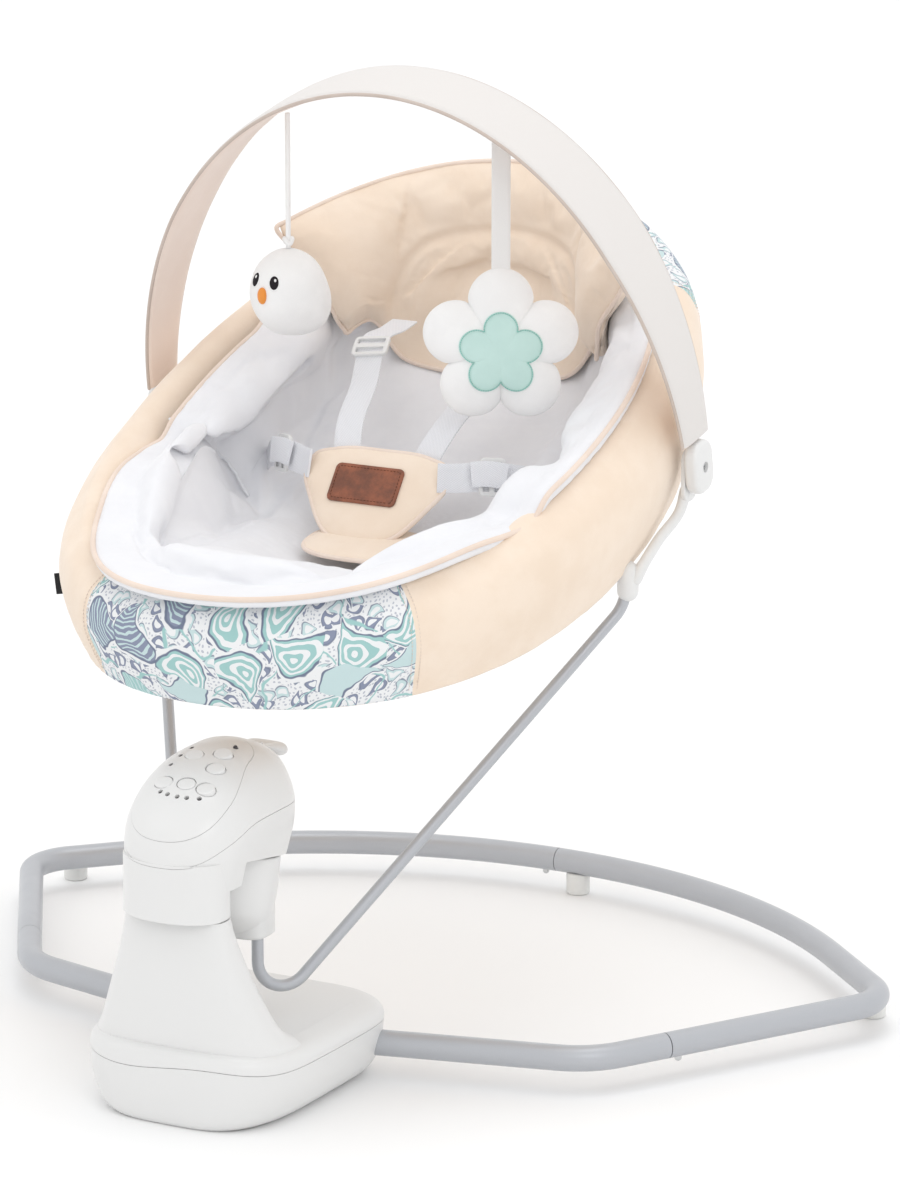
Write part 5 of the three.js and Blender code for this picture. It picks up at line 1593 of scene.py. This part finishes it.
def toy_bar():
    """Cloth-covered bow, pale outside and peach inside, piped along both edges."""
    start, count = 0.078, 120
    angles = np.linspace(start, math.pi - start, count)
    half_section = [(-1, 0.0), (-0.96, 0.62), (-0.8, 0.86), (-0.5, 0.96), (-0.2, 1), (0.2, 1), (0.5, 0.96),
                    (0.8, 0.86), (0.96, 0.62), (1, 0.0)]
    section = half_section + [(w, -h) for w, h in half_section[-2:0:-1]]
    rings, edges = [], ([], [])
    for angle in angles:
        along = unit(bow_point(angle + 0.01) - bow_point(angle - 0.01))
        proud = np.cross(along, BOW_WIDE)
        if proud @ (bow_point(angle) - (0, BAR["pivot"][1], BAR["pivot"][2])) < 0:
            proud = -proud
        half = (BAR["end_width"] + (BAR["width"] - BAR["end_width"]) * min(1, math.sin(angle) / 0.6)) / 2
        middle = bow_point(angle)
        ring = []
        for w, h in section:
            soft = 0.5 * ripples(middle + BOW_WIDE * w * half, 30, 9.1 + h)
            ring.append(middle + BOW_WIDE * w * (half - 0.6) + proud * h * (BAR["thick"] / 2 + soft))
        rings.append(ring)
        for k, w in enumerate((-1, 1)):
            edges[k].append(middle + BOW_WIDE * w * (half - 0.6))
    bar = loft("toy_bar_skin", rings, BAND_OUTER, sharp=60)
    bar.data.materials.append(BAND_INNER)
    width = len(section)
    inner = {0, *range(len(half_section) - 1, width)}
    for face in bar.data.polygons:
        places = [v % width for v in face.vertices if v < count * width]
        if places and inner.issuperset(places):
            face.material_index = 1
    install(bar, "toy_bar", "toy_bar_cloth", "toy_bar")
    for name, edge in zip(("front", "back"), edges):
        welt = tube(f"toy_bar_welt_{name}", smooth_line(edge, 220), EDGE_CORD, BAND_TRIM, 10, 2)
        install(welt, "toy_bar", "toy_bar_cloth")


def toy_bar_ends():
    """Rounded end pieces on the seat's pivots, each with a cross-head screw in a well."""
    x, y, z = BAR["pivot"]
    for name, side in SIDES:
        rings = slab_rings(rounded_outline(34, 46, 14, 12), -6.5, 6.5, 4.2, 6)
        rings = rings[:, :, [2, 0, 1]] * (side, 1, 1)
        rings = turn_x(rings, BAR["lean"])
        cap = loft("cap", rings + (side * (x + 1.5), y, z), WHITE_PLASTIC)
        well = straight((side * (x + 5.2), y, z), (side * (x + 20), y, z), 4)
        carve(cap, tube("well", well, 4.8, WHITE_PLASTIC, 40))
        cap.name = f"toy_bar_end_{name}_skin"
        install(cap, "toy_bar", "white_plastic", f"toy_bar_end_{name}", sharp=40)
        screw = []
        angle = angles_round(36)
        for r, out in ((0.01, 6.2), (2.6, 6.2), (3.5, 5.9), (4.0, 5.2), (4.0, 4.9)):
            screw.append(np.column_stack([np.full(36, side * (x + out)), y + r * np.cos(angle),
                                          z + r * np.sin(angle)]))
        head = loft("screw", screw, STEEL, sharp=40)
        for turn in (0.4, 0.4 + math.pi / 2):
            groove = slab_rings(rounded_outline(4.6, 0.9, 0.2, 2), 5.5, 7, 0.1, 1)
            c, s = math.cos(turn), math.sin(turn)
            groove = np.stack([side * (x + groove[:, :, 2]), y + groove[:, :, 0] * c - groove[:, :, 1] * s,
                               z + groove[:, :, 0] * s + groove[:, :, 1] * c], axis=2)
            carve(head, loft("cross", groove, STEEL))
        head.name = f"toy_bar_screw_{name}"
        install(head, "toy_bar", "plain_steel", sharp=35)


BIRD_SIZE = np.array([34.5, 31, 38])


def bird_swell(direction):
    """How far the chick's body reaches along a direction: round, drawn out to a soft tail below."""
    tail = unit(np.array([0.72, 0.45, -0.53]))
    return 1 + 0.17 * max(0.0, float(np.asarray(direction) @ tail)) ** 5


def bird():
    """Plush chick: round head and body in one, with stitched eyes and a felt beak."""
    x, y, centre = BIRD["x"], BIRD["y"], BIRD["centre"]
    count, rows = 64, 44
    rings = []
    for k in range(1, rows):
        polar = math.pi * k / rows
        ring = []
        for i in range(count):
            a = 2 * math.pi * i / count
            d = np.array([math.sin(polar) * math.cos(a), math.sin(polar) * math.sin(a), -math.cos(polar)])
            size = BIRD_SIZE * d * bird_swell(d)
            size *= 1 + 0.012 * ripples(size, 16, 5.5)
            ring.append(size)
        rings.append(ring)
    body = loft("bird_skin", np.array(rings) + (x, y, centre), PLUSH)
    install(body, "bird", "plush", "bird_toy")
    aim = unit(np.array([-0.28, -0.93, 0.1]))
    features = (("eye_right", 13, 12, 5.6, 7.4, EYE, 1.3), ("eye_left", -13, 12, 5.6, 7.4, EYE, 1.3),
                ("beak", 0, -3, 5.0, 8.0, BEAK, 3.0))
    for name, across, up, wide, tall, paint, thick in features:
        install(button("bird_" + name, aim, across, up, wide, tall, thick, paint), "bird", "plush")
        if name != "beak":
            ring = button("bird_ring_" + name, aim, across, up, wide + 1.4, tall + 1.4, thick - 0.7,
                          BIRD_RING)
            install(ring, "bird", "plush")
            glint = button("bird_glint_" + name, aim, across - 1.2, up + 2.6, 1.5, 1.9, thick + 0.5, PLUSH)
            install(glint, "bird", "plush")


def bird_surface(aim, across, up, lift):
    """Point on the chick's skin a distance across and up from where it faces."""
    side = unit(np.cross(aim, (0, 0, 1)))
    rise = np.cross(side, aim)
    ray = aim * 34 + side * across + rise * up
    scale = 1 / math.sqrt(np.sum((ray / BIRD_SIZE) ** 2))
    return ray * scale + unit(ray / BIRD_SIZE**2) * lift + (BIRD["x"], BIRD["y"], BIRD["centre"])


def button(name, aim, across, up, wide, tall, thick, paint):
    """Small domed felt or thread patch lying on the chick's skin."""
    rings = []
    angle = angles_round(28)
    for share, lift in ((1.0, -0.8), (1.0, 0.35 * thick), (0.9, 0.7 * thick), (0.6, 0.93 * thick),
                        (0.2, thick)):
        rings.append([bird_surface(aim, across + wide * share * math.cos(a), up + tall * share * math.sin(a),
                                   lift) for a in angle])
    return loft(name, rings, paint)


def flower():
    """Plush flower of five round petals, with a felt flower sewn on its front."""
    x, y, centre, radius = FLOWER["x"], FLOWER["y"], FLOWER["centre"], FLOWER["radius"]
    spots = 200
    angle = angles_round(spots)

    def petals(size, depth):
        lobes = (1 - depth) + depth * (np.abs(np.cos(2.5 * (angle - math.pi / 2))) ** 0.75 * 2 - 1)
        reach = size * lobes
        return np.column_stack([reach * np.cos(angle), reach * np.sin(angle)])

    outline = petals(radius, 0.16)
    shares = np.sin(np.linspace(0.05, 1, 16) * np.pi / 2)
    rings = []
    for sign, run in ((1, shares), (-1, shares[::-1])):
        for share in run:
            bulge = 13 * (1 - share**3.2) ** 0.62
            lobe = 1 - 0.22 * (1 - np.abs(np.cos(2.5 * (angle - math.pi / 2)))) * share**1.5
            flat = outline * share
            rings.append(np.column_stack([flat[:, 0], sign * bulge * lobe, flat[:, 1]]))
    c, s = math.cos(FLOWER["turn"]), math.sin(FLOWER["turn"])

    def hang(points, drop=0):
        return np.asarray(points) @ np.array([[c, s, 0], [-s, c, 0], [0, 0, 1]]) + (x, y, centre - drop)

    body = loft("flower_skin", hang(rings), PLUSH)
    install(body, "flower", "plush", "flower_toy")
    badge_outline = petals(37, 0.17)
    badge = []
    for share, lift in ((1.0, -2.5), (1.0, 0.4), (0.985, 1.1), (0.94, 1.5), (0.7, 2.0), (0.4, 2.2),
                        (0.1, 2.2)):
        front = -(13 * (1 - (share * 0.5) ** 3.2) ** 0.62 + lift - 0.9)
        flat = badge_outline * share
        badge.append(np.column_stack([flat[:, 0], front * np.ones(spots), flat[:, 1]]))
    patch = loft("flower_badge", hang(badge, 4), MINT, sharp=60)
    install(patch, "flower", "plush")
    run = badge_outline * 0.965
    seam = hang(np.column_stack([run[:, 0], np.full(spots, -13.4), run[:, 1]]), 4)
    sewing = stitches("flower_stitches", seam, 2.0, 1.7, 0.55, MINT_THREAD, closed=True)
    install(sewing, "flower", "plush")


CORD_RADIUS = 2.2


def toy_cords():
    """Cord that carries the chick, with its knot, and ribbon that carries the flower."""
    x, y = BIRD["x"], BIRD["y"]
    low, top = BIRD["centre"] + 38.5, BIRD["top"]
    path = np.array([(x, y, z) for z in np.linspace(top, low, 24)])
    cord = tube("bird_cord_skin", path, CORD_RADIUS, PLUSH, 12)
    install(cord, "bird", "cord_cloth", "bird_cord")
    knot = []
    for t in np.linspace(0, 2 * np.pi, 40, endpoint=False):
        knot.append((x + 3.2 * math.cos(t), y + 3.2 * math.sin(t), low + 6 + 2.2 * math.sin(2 * t)))
    knot = ring_tube("bird_knot", knot, 2.1, PLUSH, 10)
    install(knot, "bird", "cord_cloth")
    row(path[:1])[0].tolist()
    row(path).tolist()
    x, y = FLOWER["x"], FLOWER["y"]
    low, top = FLOWER["centre"] + FLOWER["radius"] - 3, FLOWER["top"]
    path = np.array([(x, y, z) for z in np.linspace(top, low, 24)])
    across = (math.cos(FLOWER["turn"]), math.sin(FLOWER["turn"]), 0)
    strap = ribbon("flower_strap_skin", path, FLOWER["ribbon"], 1.6, RIBBON_CLOTH, across=across)
    install(strap, "flower", "cord_cloth", "flower_strap")
    row(path[:1])[0].tolist()
    row(path).tolist()


# ---------------------------------------------------------------- parts kept from the CAD
def kept_parts():
    """Finishes for CAD nodes whose shapes are already right."""
    finishes = (
        (DARK_PLASTIC, ("tube_plug_right", "tube_plug_left", "tube_plug_rear", "dc_inlet", "speaker",
                        "shaft_bush_lower", "shaft_bush_upper")),
        (WHITE_PLASTIC, ("battery_cover",)), (BOARD, ("control_board",)), (COPPER, ("drive_coil",)),
        (STEEL, ("hub_shaft", "drive_magnet")), (GREY_TUBE, ("seat_frame",)))
    for paint, nodes in finishes:
        for name in nodes:
            materials = frame["nodes"][name].data.materials
            materials.clear()
            materials.append(paint)


for build in (camera_and_stage, toy_cords, floor_loop, feet, base_shells, head_shells, keys, lamp_bars,
              release_lever, hub, brackets, seat_cover, side_tag, insert_pad, head_pillow, harness, toy_bar,
              toy_bar_ends, bird, flower, kept_parts):
    build()
